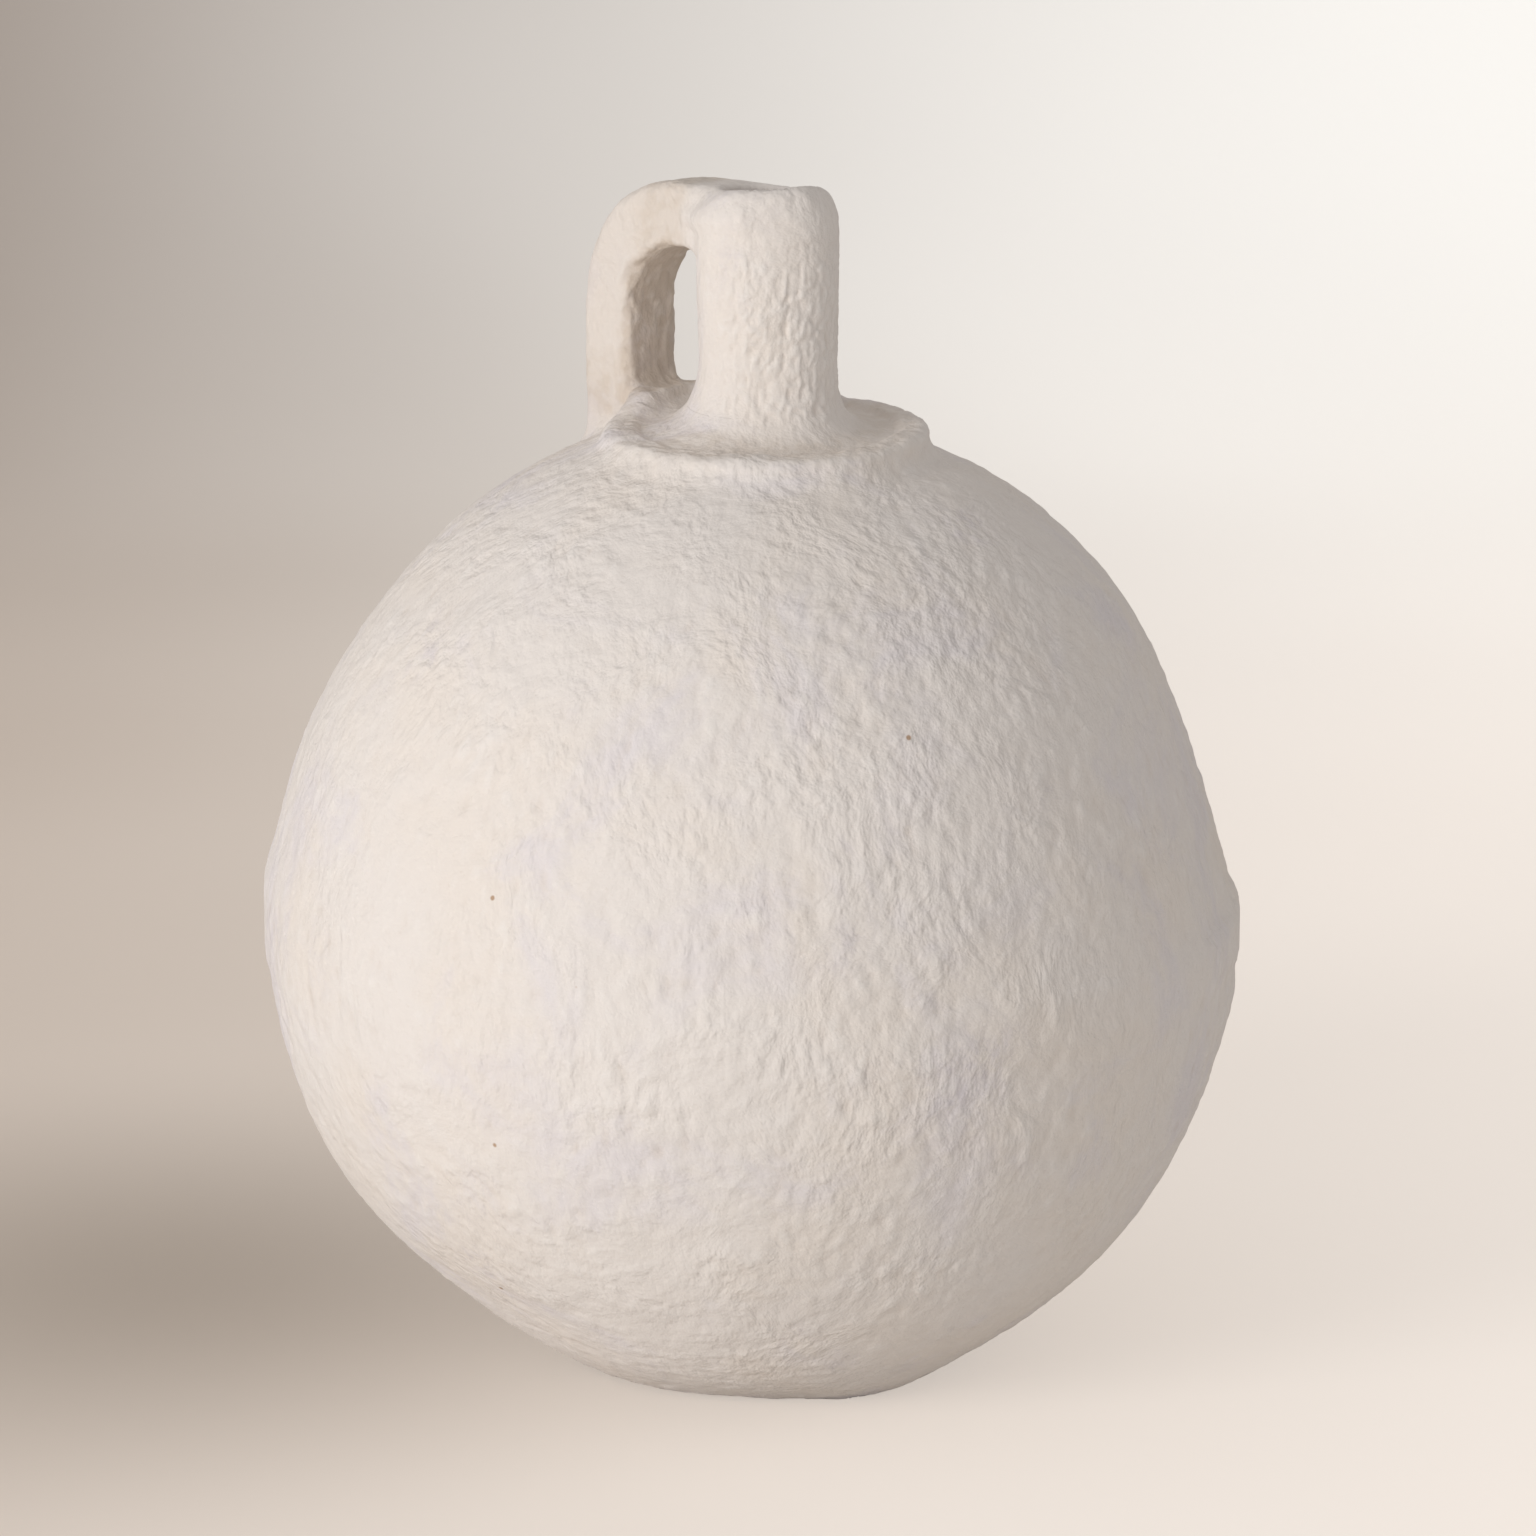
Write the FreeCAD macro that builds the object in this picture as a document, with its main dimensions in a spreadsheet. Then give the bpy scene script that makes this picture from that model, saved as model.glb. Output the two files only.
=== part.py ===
import FreeCAD, Part
import enum
import math
import os
import re
import Sketcher

# A squat globe jug with one handle, made of paper pulp round a card tube.
# Millimetres and degrees. The origin is on the floor under the globe's axis, Z is up,
# the front is towards -Y, and the handle is at the back on the left.

Vector = FreeCAD.Vector
UP = Vector(0, 0, 1)
FULL_TURN = 360

# Driving sizes: the name of the cell, its value, and what it measures.
DRIVING_SIZES = [
    ("shell_radius", 198.8, "outside of both half shells at the seam"),
    ("shell_wall", 8, "thickness of the pressed pulp"),
    ("foot_radius", 76.5, "flat foot that the jug stands on"),
    ("floor_thickness", 12, "pulp over the foot"),
    ("flank_radius", 346, "long arc of the side above the seam"),
    ("flank_lean", 10, "how far the side leans inwards at the seam"),
    ("shoulder_turn", 24.4, "lean at which the side turns into the shoulder"),
    ("shoulder_radius", 200, "arc of the shoulder"),
    ("crown_radius", 58, "flat top of the upper half before its seat is cut"),
    ("lap_height", 12, "tongue of the lower half inside the upper half"),
    ("band_height", 24, "pulp strip laid over the seam"),
    ("band_seat_depth", 1.8, "groove that the strip is laid in"),
    ("band_proud", 1.2, "how far the strip stands out of the globe"),
    ("band_chamfer", 3, "feathered edge of the strip"),
    ("base_disc_radius", 60, "card disc let into the foot"),
    ("base_disc_thickness", 4, "card disc let into the foot"),
    ("neck_offset", 6.5, "neck, collar and tube to the right of the globe's axis"),
    ("collar_radius", 65, "disc on the shoulder"),
    ("collar_thickness", 9, "disc on the shoulder"),
    ("collar_seat_depth", 5.2, "how deep the disc is let into the crown"),
    ("collar_edge_round", 3, "rounding of the disc's upper edge"),
    ("collar_rim_width", 8, "raised rim round the dished top"),
    ("collar_spigot_radius", 27, "plug under the disc, in the hole of the upper half"),
    ("dish_depth", 2, "hollow of the disc's top"),
    ("dish_slope", 5, "width of the slope from the hollow to the rim"),
    ("tube_bore_radius", 16, "bore of the card tube"),
    ("tube_wall", 3, "wall of the card tube"),
    ("tube_overhang", 3, "card tube below the crown, inside the globe"),
    ("neck_wall", 9.1, "pulp of the neck round the tube"),
    ("neck_length", 103, "from the disc's rim to the front of the mouth"),
    ("mouth_tilt", 10.5, "fall of the mouth towards the back"),
    ("lip_rise", 22, "height over which the neck draws in to the mouth"),
    ("lip_draw", 5, "how far the neck draws in to the mouth"),
    ("lip_depth", 17, "lip above the end of the card tube"),
    ("lip_bore_step", 1, "lip's bore wider than the card tube's"),
    ("outer_round_share", 0.6, "outer edge of the mouth, of the lip's wall"),
    ("inner_round_share", 0.4, "inner edge of the mouth, of the lip's wall"),
    ("root_cove", 12, "hollow fillet between neck and disc"),
    ("root_tip", 1.2, "thinnest edge of that fillet"),
    ("handle_turn", 135, "direction of the handle round the neck"),
    ("handle_drop", 18.5, "middle of the handle's head below the mouth"),
    ("leg_gap", 1.2, "between the disc's edge and the handle's leg"),
    ("head_run", 11.4, "handle from the neck to the start of its bend"),
    ("handle_thickness", 27, "handle, from the grip side to the outside"),
    ("handle_width", 30.4, "handle, across"),
    ("handle_outer_corner", 6, "long edges on the outside"),
    ("handle_inner_corner", 3, "long edges on the grip side"),
    ("core_radius", 6, "rolled paper core of the handle"),
    ("fillet_spread", 5, "pulp worked round both ends of the handle"),
    ("fillet_tip", 1, "thinnest edge of that pulp"),
    ("foot_fillet_height", 14, "pulp up the handle's leg"),
    ("fit_gap", 0.2, "glue gap between pieces"),
    ("cut_overrun", 2, "how far a cut runs past what it cuts"),
]

# Sizes worked out from the driving ones, each in its own words.
WORKED = {
    # globe
    "equator": "sqrt(shell_radius^2 - foot_radius^2)",
    "shell_bore": "shell_radius - shell_wall",
    "band_half": "band_height / 2",
    "band_seat": "shell_radius - band_seat_depth",
    "band_bottom": "equator - band_half",
    "band_top": "equator + band_half",
    "band_bottom_radius": "sqrt(shell_radius^2 - band_half^2)",
    "lap_radius": "shell_bore + (shell_wall - band_seat_depth) / 2",
    "lap_top": "equator + lap_height",
    "floor_radius": "sqrt(shell_bore^2 - (equator - floor_thickness)^2)",
    "flank_x": "shell_radius - flank_radius * cos(flank_lean)",
    "flank_z": "band_top - flank_radius * sin(flank_lean)",
    "shoulder_x": "flank_x + (flank_radius - shoulder_radius) * cos(shoulder_turn)",
    "shoulder_z": "flank_z + (flank_radius - shoulder_radius) * sin(shoulder_turn)",
    "crown": "shoulder_z + sqrt(shoulder_radius^2 - (crown_radius - shoulder_x)^2)",
    # collar and neck
    "seat": "crown - collar_seat_depth",
    "seat_underside": "seat - shell_wall",
    "collar_top": "seat + collar_thickness",
    "dish_floor": "collar_top - dish_depth",
    "dish_radius": "collar_radius - collar_rim_width - dish_slope",
    "tube_radius": "tube_bore_radius + tube_wall",
    "tube_seat": "tube_radius + fit_gap",
    "tube_foot": "seat_underside - tube_overhang",
    "neck_radius": "tube_seat + neck_wall",
    "mouth": "collar_top + neck_length",
    "mouth_radius": "neck_radius - lip_draw",
    "mouth_slope": "tan(mouth_tilt)",
    "lip_foot": "mouth - lip_rise",
    "lip_arc": "(lip_rise^2 + lip_draw^2) / (lip_draw * 2)",
    "lip_bore": "tube_bore_radius + lip_bore_step",
    "lip_outer_round": "(mouth_radius - lip_bore) * outer_round_share",
    "lip_inner_round": "(mouth_radius - lip_bore) * inner_round_share",
    "tube_top": "mouth - lip_depth",
    "root_foot_radius": "neck_radius + root_tip + root_cove",
    "root_top": "dish_floor + root_tip + root_cove",
    # handle
    "handle_height": "mouth - handle_drop",
    "half_width": "handle_width / 2",
    "half_thickness": "handle_thickness / 2",
    "handle_reach": "collar_radius + leg_gap + half_thickness",
    "bend_start": "neck_radius + head_run",
    "handle_bend": "handle_reach - bend_start",
    "leg_x": "neck_offset + handle_reach * cos(handle_turn)",
    "leg_y": "handle_reach * sin(handle_turn)",
    "leg_seat": "shoulder_z + sqrt(shoulder_radius^2 - (sqrt(leg_x^2 + leg_y^2) - shoulder_x)^2)",
}

SIZES = {name: number for name, number, meaning in DRIVING_SIZES}


class Spot(enum.IntEnum):
    """The points of an edge, as a sketch numbers them."""
    FIRST = 1
    LAST = 2
    CENTRE = 3


class Axis(enum.IntEnum):
    """A sketch's own axes. Its origin is the first point of the one across."""
    ACROSS = -1
    UP = -2


document = FreeCAD.newDocument("globe_jug")
sheet = document.addObject("Spreadsheet::Sheet", "sizes")
for row, (name, number, meaning) in enumerate(DRIVING_SIZES, start=1):
    sheet.set(f"A{row}", meaning)
    sheet.set(f"B{row}", str(number))
    sheet.setAlias(f"B{row}", name)
document.recompute()


def formula(text):
    """Spells out a formula in plain names as an expression of the sheet's cells."""
    def spelled_out(match):
        word = match.group(0)
        if word in WORKED:
            return "(" + formula(WORKED[word]) + ")"
        return "sizes." + word if word in SIZES else word
    return re.sub("[a-z_]+", spelled_out, text)


def value(text):
    """The number that a formula gives with the present sizes."""
    return float(sheet.evalExpression(formula(text)))


def new_body(label, across="0", turn=None):
    """A body whose own Z axis stands across to the right, turned about it if asked."""
    body = document.addObject("PartDesign::Body", label + "_body")
    body.Label = label
    body.Placement = FreeCAD.Placement(Vector(value(across), 0, 0), FreeCAD.Rotation())
    if across != "0":
        body.setExpression("Placement.Base.x", formula(across))
    if turn:
        body.Placement.Rotation = FreeCAD.Rotation(UP, value(turn))
        body.setExpression("Placement.Rotation.Angle", formula(turn))
    return body


def new_sketch(body, name, plane, away=None, turn=None):
    """A sketch on one of the body's own planes, moved away from it or turned about Z."""
    sketch = body.newObject("Sketcher::SketchObject", name)
    support = [item for item in body.Origin.OriginFeatures if item.Role == plane][0]
    sketch.AttachmentSupport = (support, [""])
    sketch.MapMode = "FlatFace"
    if turn:
        sketch.AttachmentOffset = FreeCAD.Placement(
            Vector(0, 0, 0), FreeCAD.Rotation(Vector(0, 1, 0), value(turn)))
        sketch.setExpression("AttachmentOffset.Rotation.Angle", formula(turn))
    if away:
        sketch.setExpression("AttachmentOffset.Base.z", formula(away))
    return sketch


def hold(sketch, constraint, text=None):
    """Adds a constraint, tied to a formula where one is given."""
    number = sketch.addConstraint(constraint)
    if text is not None:
        sketch.setExpression(f"Constraints[{number}]", formula(text))


def place(sketch, edge, end, across, up):
    """Fixes one end of an edge at a place given by two formulas."""
    if across == "0":
        hold(sketch, Sketcher.Constraint("PointOnObject", edge, end, Axis.UP))
    else:
        hold(sketch, Sketcher.Constraint(
            "DistanceX", Axis.ACROSS, Spot.FIRST, edge, end, value(across)), across)
    if up == "0":
        hold(sketch, Sketcher.Constraint("PointOnObject", edge, end, Axis.ACROSS))
    else:
        hold(sketch, Sketcher.Constraint(
            "DistanceY", Axis.ACROSS, Spot.FIRST, edge, end, value(up)), up)


def draw(sketch, corners, arcs=None, closed=True):
    """Draws lines from corner to corner, with an arc where arcs names the corner it
    starts from. An arc is given by its centre and its radius."""
    arcs = arcs or {}
    spots = [(value(across), value(up)) for across, up in corners]
    count = len(corners) if closed else len(corners) - 1
    ends = []
    for number in range(count):
        here = spots[number]
        there = spots[(number + 1) % len(spots)]
        if number in arcs:
            across, up, radius = arcs[number]
            middle = (value(across), value(up))
            start = math.atan2(here[1] - middle[1], here[0] - middle[0])
            stop = math.atan2(there[1] - middle[1], there[0] - middle[0])
            forwards = (stop - start) % math.tau < math.pi
            circle = Part.Circle(Vector(middle[0], middle[1], 0), UP, value(radius))
            span = (start, stop) if forwards else (stop, start)
            edge = sketch.addGeometry(Part.ArcOfCircle(circle, *span), False)
            hold(sketch, Sketcher.Constraint("Radius", edge, value(radius)), radius)
            ends.append((edge, Spot.FIRST, Spot.LAST) if forwards else (edge, Spot.LAST, Spot.FIRST))
        else:
            line = Part.LineSegment(Vector(*here, 0), Vector(*there, 0))
            ends.append((sketch.addGeometry(line, False), Spot.FIRST, Spot.LAST))
    for number, (edge, first, last) in enumerate(ends):
        place(sketch, edge, first, *corners[number])
        if closed or number > 0:
            before, _, before_last = ends[number - 1]
            hold(sketch, Sketcher.Constraint("Coincident", before, before_last, edge, first))
    if not closed:
        edge, first, last = ends[-1]
        place(sketch, edge, last, *corners[-1])


def draw_circle(sketch, across, up, radius):
    """Draws a circle whose centre and radius are formulas."""
    middle = Vector(value(across), value(up), 0)
    edge = sketch.addGeometry(Part.Circle(middle, UP, value(radius)), False)
    hold(sketch, Sketcher.Constraint("Radius", edge, value(radius)), radius)
    place(sketch, edge, Spot.CENTRE, across, up)


def rounded_block(left, right, bottom, top, corners):
    """Corners and arcs of a rectangle, whose four radii are given anticlockwise from
    the bottom left. A radius of None leaves the corner square."""
    sides = [(left, bottom, "+", "+"), (right, bottom, "-", "+"),
             (right, top, "-", "-"), (left, top, "+", "-")]
    places = []
    arcs = {}
    for (across, up, inwards_across, inwards_up), radius in zip(sides, corners):
        if radius is None:
            places.append((across, up))
            continue
        across_in = f"{across} {inwards_across} ({radius})"
        up_in = f"{up} {inwards_up} ({radius})"
        arcs[len(places)] = (across_in, up_in, radius)
        turn_first = inwards_across == inwards_up
        places += [(across, up_in), (across_in, up)] if turn_first else \
            [(across_in, up), (across, up_in)]
    return places, arcs


def revolve(body, sketch, kind="PartDesign::Revolution"):
    """Turns a sketch round the body's Z axis, as pulp or as a cut."""
    feature = body.newObject(kind, sketch.Label + "_turned")
    feature.Profile = sketch
    feature.ReferenceAxis = (sketch, ["V_Axis"])
    feature.Angle = FULL_TURN
    document.recompute()
    return feature


def cut_through(body, sketch, forwards=False, both_ways=False):
    """Cuts a sketch through the body, against or along its plane's normal."""
    before = body.Shape.Volume
    feature = body.newObject("PartDesign::Pocket", sketch.Label + "_cut")
    feature.Profile = sketch
    feature.Type = "ThroughAll"
    feature.Reversed = forwards
    if both_ways:
        feature.SideType = "Symmetric"
    document.recompute()
    if body.Shape.Volume >= before:
        raise ValueError(f"{sketch.Label} cuts nothing from {body.Label}")
    return feature


def cut_to_depth(body, sketch, depth):
    """Cuts a sketch to a depth below its plane."""
    before = body.Shape.Volume
    feature = body.newObject("PartDesign::Pocket", sketch.Label + "_cut")
    feature.Profile = sketch
    feature.setExpression("Length", formula(depth))
    document.recompute()
    if body.Shape.Volume >= before:
        raise ValueError(f"{sketch.Label} cuts nothing from {body.Label}")
    return feature


def cut_away(label, base, tool):
    """One piece less another, under the first piece's name."""
    base.Label = label + "_blank"
    piece = document.addObject("Part::Cut", label + "_cut")
    piece.Base = base
    piece.Tool = tool
    piece.Label = label
    document.recompute()
    return piece


def globe_side(growth):
    """The globe's side from the seam strip to the crown, grown outwards by a gap or
    inwards by a wall: its turning corner, and the two arcs that meet there."""
    flank = ("flank_x", "flank_z", f"flank_radius + {growth}")
    shoulder = ("shoulder_x", "shoulder_z", f"shoulder_radius + {growth}")
    corner = (f"flank_x + (flank_radius + {growth}) * cos(shoulder_turn)",
              f"flank_z + (flank_radius + {growth}) * sin(shoulder_turn)")
    return flank, corner, shoulder


def flank_across(growth, up):
    """How far out the flank is at a height."""
    return f"flank_x + sqrt((flank_radius + {growth})^2 - ({up} - flank_z)^2)"


def shoulder_across(growth, up):
    """How far out the shoulder is at a height."""
    return f"shoulder_x + sqrt((shoulder_radius + {growth})^2 - ({up} - shoulder_z)^2)"


def make_lower_shell():
    """Pressed half globe with the foot, a tongue at the seam and a recess below."""
    body = new_body("lower_shell")
    sketch = new_sketch(body, "lower_shell_profile", "XZ_Plane")
    recess = "base_disc_radius + fit_gap"
    corners = [
        ("0", "base_disc_thickness"),
        (recess, "base_disc_thickness"),
        (recess, "0"),
        ("foot_radius", "0"),
        ("band_bottom_radius", "band_bottom"),
        ("band_seat", "band_bottom"),
        ("band_seat", "equator"),
        ("lap_radius", "equator"),
        ("lap_radius", "lap_top"),
        ("shell_bore", "lap_top"),
        ("shell_bore", "equator"),
        ("floor_radius", "floor_thickness"),
        ("0", "floor_thickness"),
    ]
    arcs = {3: ("0", "equator", "shell_radius"), 10: ("0", "equator", "shell_bore")}
    draw(sketch, corners, arcs)
    revolve(body, sketch)
    return body


def make_upper_shell():
    """Pressed upper half with the flat seat for the collar, the hole for the neck's
    tube and the hole for the handle's core."""
    body = new_body("upper_shell")
    sketch = new_sketch(body, "upper_shell_profile", "XZ_Plane")
    flank, corner, shoulder = globe_side("0")
    inner_flank, inner_corner, inner_shoulder = globe_side("-shell_wall")
    socket_top = "lap_top + fit_gap"
    corners = [
        ("lap_radius + fit_gap", "equator"),
        ("band_seat", "equator"),
        ("band_seat", "band_top"),
        ("shell_radius", "band_top"),
        corner,
        ("crown_radius", "crown"),
        ("0", "crown"),
        ("0", "seat_underside"),
        (shoulder_across("-shell_wall", "seat_underside"), "seat_underside"),
        inner_corner,
        (flank_across("-shell_wall", f"({socket_top})"), socket_top),
        ("lap_radius + fit_gap", socket_top),
    ]
    arcs = {3: flank, 4: shoulder, 8: inner_shoulder, 9: inner_flank}
    draw(sketch, corners, arcs)
    revolve(body, sketch)

    above_crown = "crown + cut_overrun"
    seat = new_sketch(body, "collar_seat", "XY_Plane", away=above_crown)
    draw_circle(seat, "neck_offset", "0", "collar_radius + fit_gap")
    cut_to_depth(body, seat, "collar_seat_depth + cut_overrun")

    neck_hole = new_sketch(body, "neck_hole", "XY_Plane", away=above_crown)
    draw_circle(neck_hole, "neck_offset", "0", "collar_spigot_radius + fit_gap")
    cut_through(body, neck_hole)

    core_hole = new_sketch(body, "core_hole", "XY_Plane", away=above_crown)
    draw_circle(core_hole, "leg_x", "leg_y", "core_radius + fit_gap")
    cut_through(body, core_hole)
    return body


def make_globe_form():
    """The outside of the upper half grown by the glue gap, which what stands on the
    shoulder is cut to."""
    body = new_body("globe_form")
    sketch = new_sketch(body, "globe_form_profile", "XZ_Plane")
    flank, corner, shoulder = globe_side("fit_gap")
    crown_up = "crown + fit_gap"
    corners = [
        ("0", "band_top"),
        (flank_across("fit_gap", "band_top"), "band_top"),
        corner,
        (shoulder_across("fit_gap", f"({crown_up})"), crown_up),
        ("0", crown_up),
    ]
    draw(sketch, corners, {1: flank, 2: shoulder})
    revolve(body, sketch)
    return body


def make_seam_band():
    """Strip of pulp laid in the groove over the seam."""
    body = new_body("seam_band")
    sketch = new_sketch(body, "seam_band_profile", "XZ_Plane")
    low = "band_bottom + fit_gap"
    high = "band_top - fit_gap"
    corners = [
        ("band_seat + fit_gap", low),
        ("shell_radius", low),
        ("shell_radius + band_proud", "band_bottom + band_chamfer"),
        ("shell_radius + band_proud", "band_top - band_chamfer"),
        ("shell_radius", high),
        ("band_seat + fit_gap", high),
    ]
    draw(sketch, corners)
    revolve(body, sketch)
    return body


def make_base_disc():
    """Card disc let into the foot."""
    body = new_body("base_disc")
    sketch = new_sketch(body, "base_disc_outline", "XY_Plane")
    draw_circle(sketch, "0", "0", "base_disc_radius")
    pad = body.newObject("PartDesign::Pad", "base_disc_pad")
    pad.Profile = sketch
    pad.setExpression("Length", formula("base_disc_thickness"))
    document.recompute()
    return body


def make_shoulder_collar():
    """Dished disc let into the crown, with a plug through the upper half."""
    body = new_body("shoulder_collar", across="neck_offset")
    sketch = new_sketch(body, "collar_profile", "XZ_Plane")
    edge = "collar_radius - collar_edge_round"
    corners = [
        ("tube_seat", "seat_underside"),
        ("collar_spigot_radius", "seat_underside"),
        ("collar_spigot_radius", "seat"),
        ("collar_radius", "seat"),
        ("collar_radius", "collar_top - collar_edge_round"),
        (edge, "collar_top"),
        ("dish_radius + dish_slope", "collar_top"),
        ("dish_radius", "dish_floor"),
        ("tube_seat", "dish_floor"),
    ]
    draw(sketch, corners, {4: (edge, "collar_top - collar_edge_round", "collar_edge_round")})
    revolve(body, sketch)
    return body


def make_neck_tube():
    """Card tube from the crown to the lip, which the neck is built on."""
    body = new_body("neck_tube", across="neck_offset")
    sketch = new_sketch(body, "tube_outline", "XY_Plane", away="tube_foot")
    draw_circle(sketch, "0", "0", "tube_radius")
    draw_circle(sketch, "0", "0", "tube_bore_radius")
    pad = body.newObject("PartDesign::Pad", "tube_pad")
    pad.Profile = sketch
    pad.setExpression("Length", formula("tube_top - tube_foot"))
    document.recompute()
    return body


def round_mouth(body, feature, rounding, outside):
    """Rounds the mouth's outer or inner edge, found as the edges on the mouth's plane."""
    mouth, slope = value("mouth"), value("mouth_slope")
    front = value("mouth_radius")
    divide = value("(lip_bore + mouth_radius) / 2")
    close = value("fit_gap")
    names = []
    for number, edge in enumerate(feature.Shape.Edges, start=1):
        spots = edge.discretize(5)
        on_plane = all(abs(spot.z - mouth + (spot.y + front) * slope) < close for spot in spots)
        if on_plane and (math.hypot(spots[1].x, spots[1].y) > divide) == outside:
            names.append(f"Edge{number}")
    fillet = body.newObject("PartDesign::Fillet", rounding)
    fillet.Base = (feature, names)
    fillet.setExpression("Radius", formula(rounding))
    document.recompute()


def make_neck():
    """Pulp wall round the tube, drawn in to a mouth that falls towards the back."""
    body = new_body("neck", across="neck_offset")
    sketch = new_sketch(body, "neck_profile", "XZ_Plane")
    corners = [
        ("tube_seat", "dish_floor"),
        ("neck_radius", "dish_floor"),
        ("neck_radius", "lip_foot"),
        ("mouth_radius", "mouth"),
        ("lip_bore", "mouth"),
        ("lip_bore", "tube_top + fit_gap"),
        ("tube_seat", "tube_top + fit_gap"),
    ]
    draw(sketch, corners, {2: ("neck_radius - lip_arc", "lip_foot", "lip_arc")})
    revolve(body, sketch)

    mouth_cut = new_sketch(body, "mouth_cut", "YZ_Plane")
    front = "-(neck_radius + cut_overrun)"
    back = "neck_radius + cut_overrun"
    corners = [
        (front, "mouth + (cut_overrun + lip_draw) * mouth_slope"),
        (back, "mouth - (cut_overrun + neck_radius + mouth_radius) * mouth_slope"),
        (back, "mouth + neck_radius"),
        (front, "mouth + neck_radius"),
    ]
    draw(mouth_cut, corners)
    mouth_plane = cut_through(body, mouth_cut, both_ways=True)

    round_mouth(body, mouth_plane, "lip_outer_round", outside=True)
    round_mouth(body, body.Tip, "lip_inner_round", outside=False)

    core_hole = new_sketch(body, "handle_core_hole", "YZ_Plane", turn="handle_turn")
    draw_circle(core_hole, "0", "handle_height", "core_radius + fit_gap")
    cut_through(body, core_hole, forwards=True)
    return body


def make_neck_root():
    """Hollow fillet of pulp worked round the foot of the neck."""
    body = new_body("neck_root", across="neck_offset")
    sketch = new_sketch(body, "neck_root_profile", "XZ_Plane")
    corners = [
        ("neck_radius + fit_gap", "dish_floor"),
        ("root_foot_radius", "dish_floor"),
        ("root_foot_radius", "dish_floor + root_tip"),
        ("neck_radius + root_tip", "root_top"),
        ("neck_radius + fit_gap", "root_top"),
    ]
    draw(sketch, corners, {2: ("root_foot_radius", "root_top", "root_cove")})
    revolve(body, sketch)
    return body


def new_handle_path(body, name, start, end):
    """Middle line of the handle: out from the neck, round the bend and down."""
    path = new_sketch(body, name, "XZ_Plane")
    corners = [
        (start, "handle_height"),
        ("bend_start", "handle_height"),
        ("handle_reach", "handle_height - handle_bend"),
        ("handle_reach", end),
    ]
    arcs = {1: ("bend_start", "handle_height - handle_bend", "handle_bend")}
    draw(path, corners, arcs, closed=False)
    return path


def sweep(body, kind, section, path):
    """Sweeps a section along the handle's middle line, as pulp or as a cut."""
    feature = body.newObject(kind, section.Label + "_swept")
    feature.Profile = section
    feature.Spine = (path, ["Edge1", "Edge2", "Edge3"])
    document.recompute()
    return feature


def cut_round_neck(body, name, radius, bottom, top):
    """Cuts a round clearance about the neck's axis."""
    sketch = new_sketch(body, name, "XZ_Plane")
    draw(sketch, [("0", bottom), (radius, bottom), (radius, top), ("0", top)])
    before = body.Shape.Volume
    feature = revolve(body, sketch, kind="PartDesign::Groove")
    if body.Shape.Volume >= before:
        raise ValueError(f"{name} cuts nothing from {body.Label}")
    return feature


def make_handle(globe_form):
    """Strap of pulp round the core, from the neck to the shoulder."""
    body = new_body("handle", across="neck_offset", turn="handle_turn")
    start = "neck_radius / 2"
    section = new_sketch(body, "handle_section", "YZ_Plane", away=start)
    corners = ["handle_inner_corner"] * 2 + ["handle_outer_corner"] * 2
    block = rounded_block("-half_width", "half_width", "handle_height - half_thickness",
                          "handle_height + half_thickness", corners)
    draw(section, *block)
    path = new_handle_path(body, "handle_path", start, "leg_seat - handle_thickness")
    strap = sweep(body, "PartDesign::AdditivePipe", section, path)
    length = sum(edge.Length for edge in path.Shape.Edges)
    area = Part.Face(Part.Wire(section.Shape.Edges)).Area
    print(f"handle strap: volume over section times length {strap.Shape.Volume / (area * length):.4f}")

    core_section = new_sketch(body, "core_bore_section", "YZ_Plane", away=start)
    draw_circle(core_section, "0", "handle_height", "core_radius + fit_gap")
    sweep(body, "PartDesign::SubtractivePipe", core_section, path)

    cut_round_neck(body, "neck_clearance", "neck_radius + fit_gap",
                   "handle_height - handle_thickness", "handle_height + handle_thickness")
    return cut_away("handle", body, globe_form)


def make_handle_core():
    """Rolled paper core, with one end in the neck's wall and the other in the shell."""
    body = new_body("handle_core", across="neck_offset", turn="handle_turn")
    start = "tube_radius + fit_gap"
    section = new_sketch(body, "core_section", "YZ_Plane", away=start)
    draw_circle(section, "0", "handle_height", "core_radius")
    path = new_handle_path(body, "core_path", start, "leg_seat - shell_wall")
    sweep(body, "PartDesign::AdditivePipe", section, path)
    return body


def loft(body, low, high):
    """Joins two sections with straight sides."""
    feature = body.newObject("PartDesign::AdditiveLoft", low.Label + "_lofted")
    feature.Profile = low
    feature.Sections = [high]
    feature.Ruled = True
    document.recompute()
    return feature


def make_handle_foot(globe_form):
    """Pulp worked round the foot of the handle's leg, on the shoulder."""
    body = new_body("handle_foot", across="neck_offset", turn="handle_turn")
    corner_names = ["handle_inner_corner", "handle_outer_corner",
                    "handle_outer_corner", "handle_inner_corner"]

    def leg_section(name, growth, up):
        sketch = new_sketch(body, name, "XY_Plane", away=up)
        block = rounded_block(
            f"handle_reach - half_thickness - {growth}", f"handle_reach + half_thickness + {growth}",
            f"-half_width - {growth}", f"half_width + {growth}",
            [f"{corner} + {growth}" for corner in corner_names])
        draw(sketch, *block)
        return sketch

    top = "leg_seat + foot_fillet_height"
    low = leg_section("foot_spread", "fillet_spread", "leg_seat - handle_thickness / 2")
    high = leg_section("foot_tip", "fillet_tip", top)
    loft(body, low, high)
    cut_through(body, leg_section("leg_hole", "fit_gap", top))
    cut_round_neck(body, "collar_clearance", "collar_radius + fit_gap",
                   "leg_seat - handle_thickness", "collar_top + fit_gap")
    return cut_away("handle_foot", body, globe_form)


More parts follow.
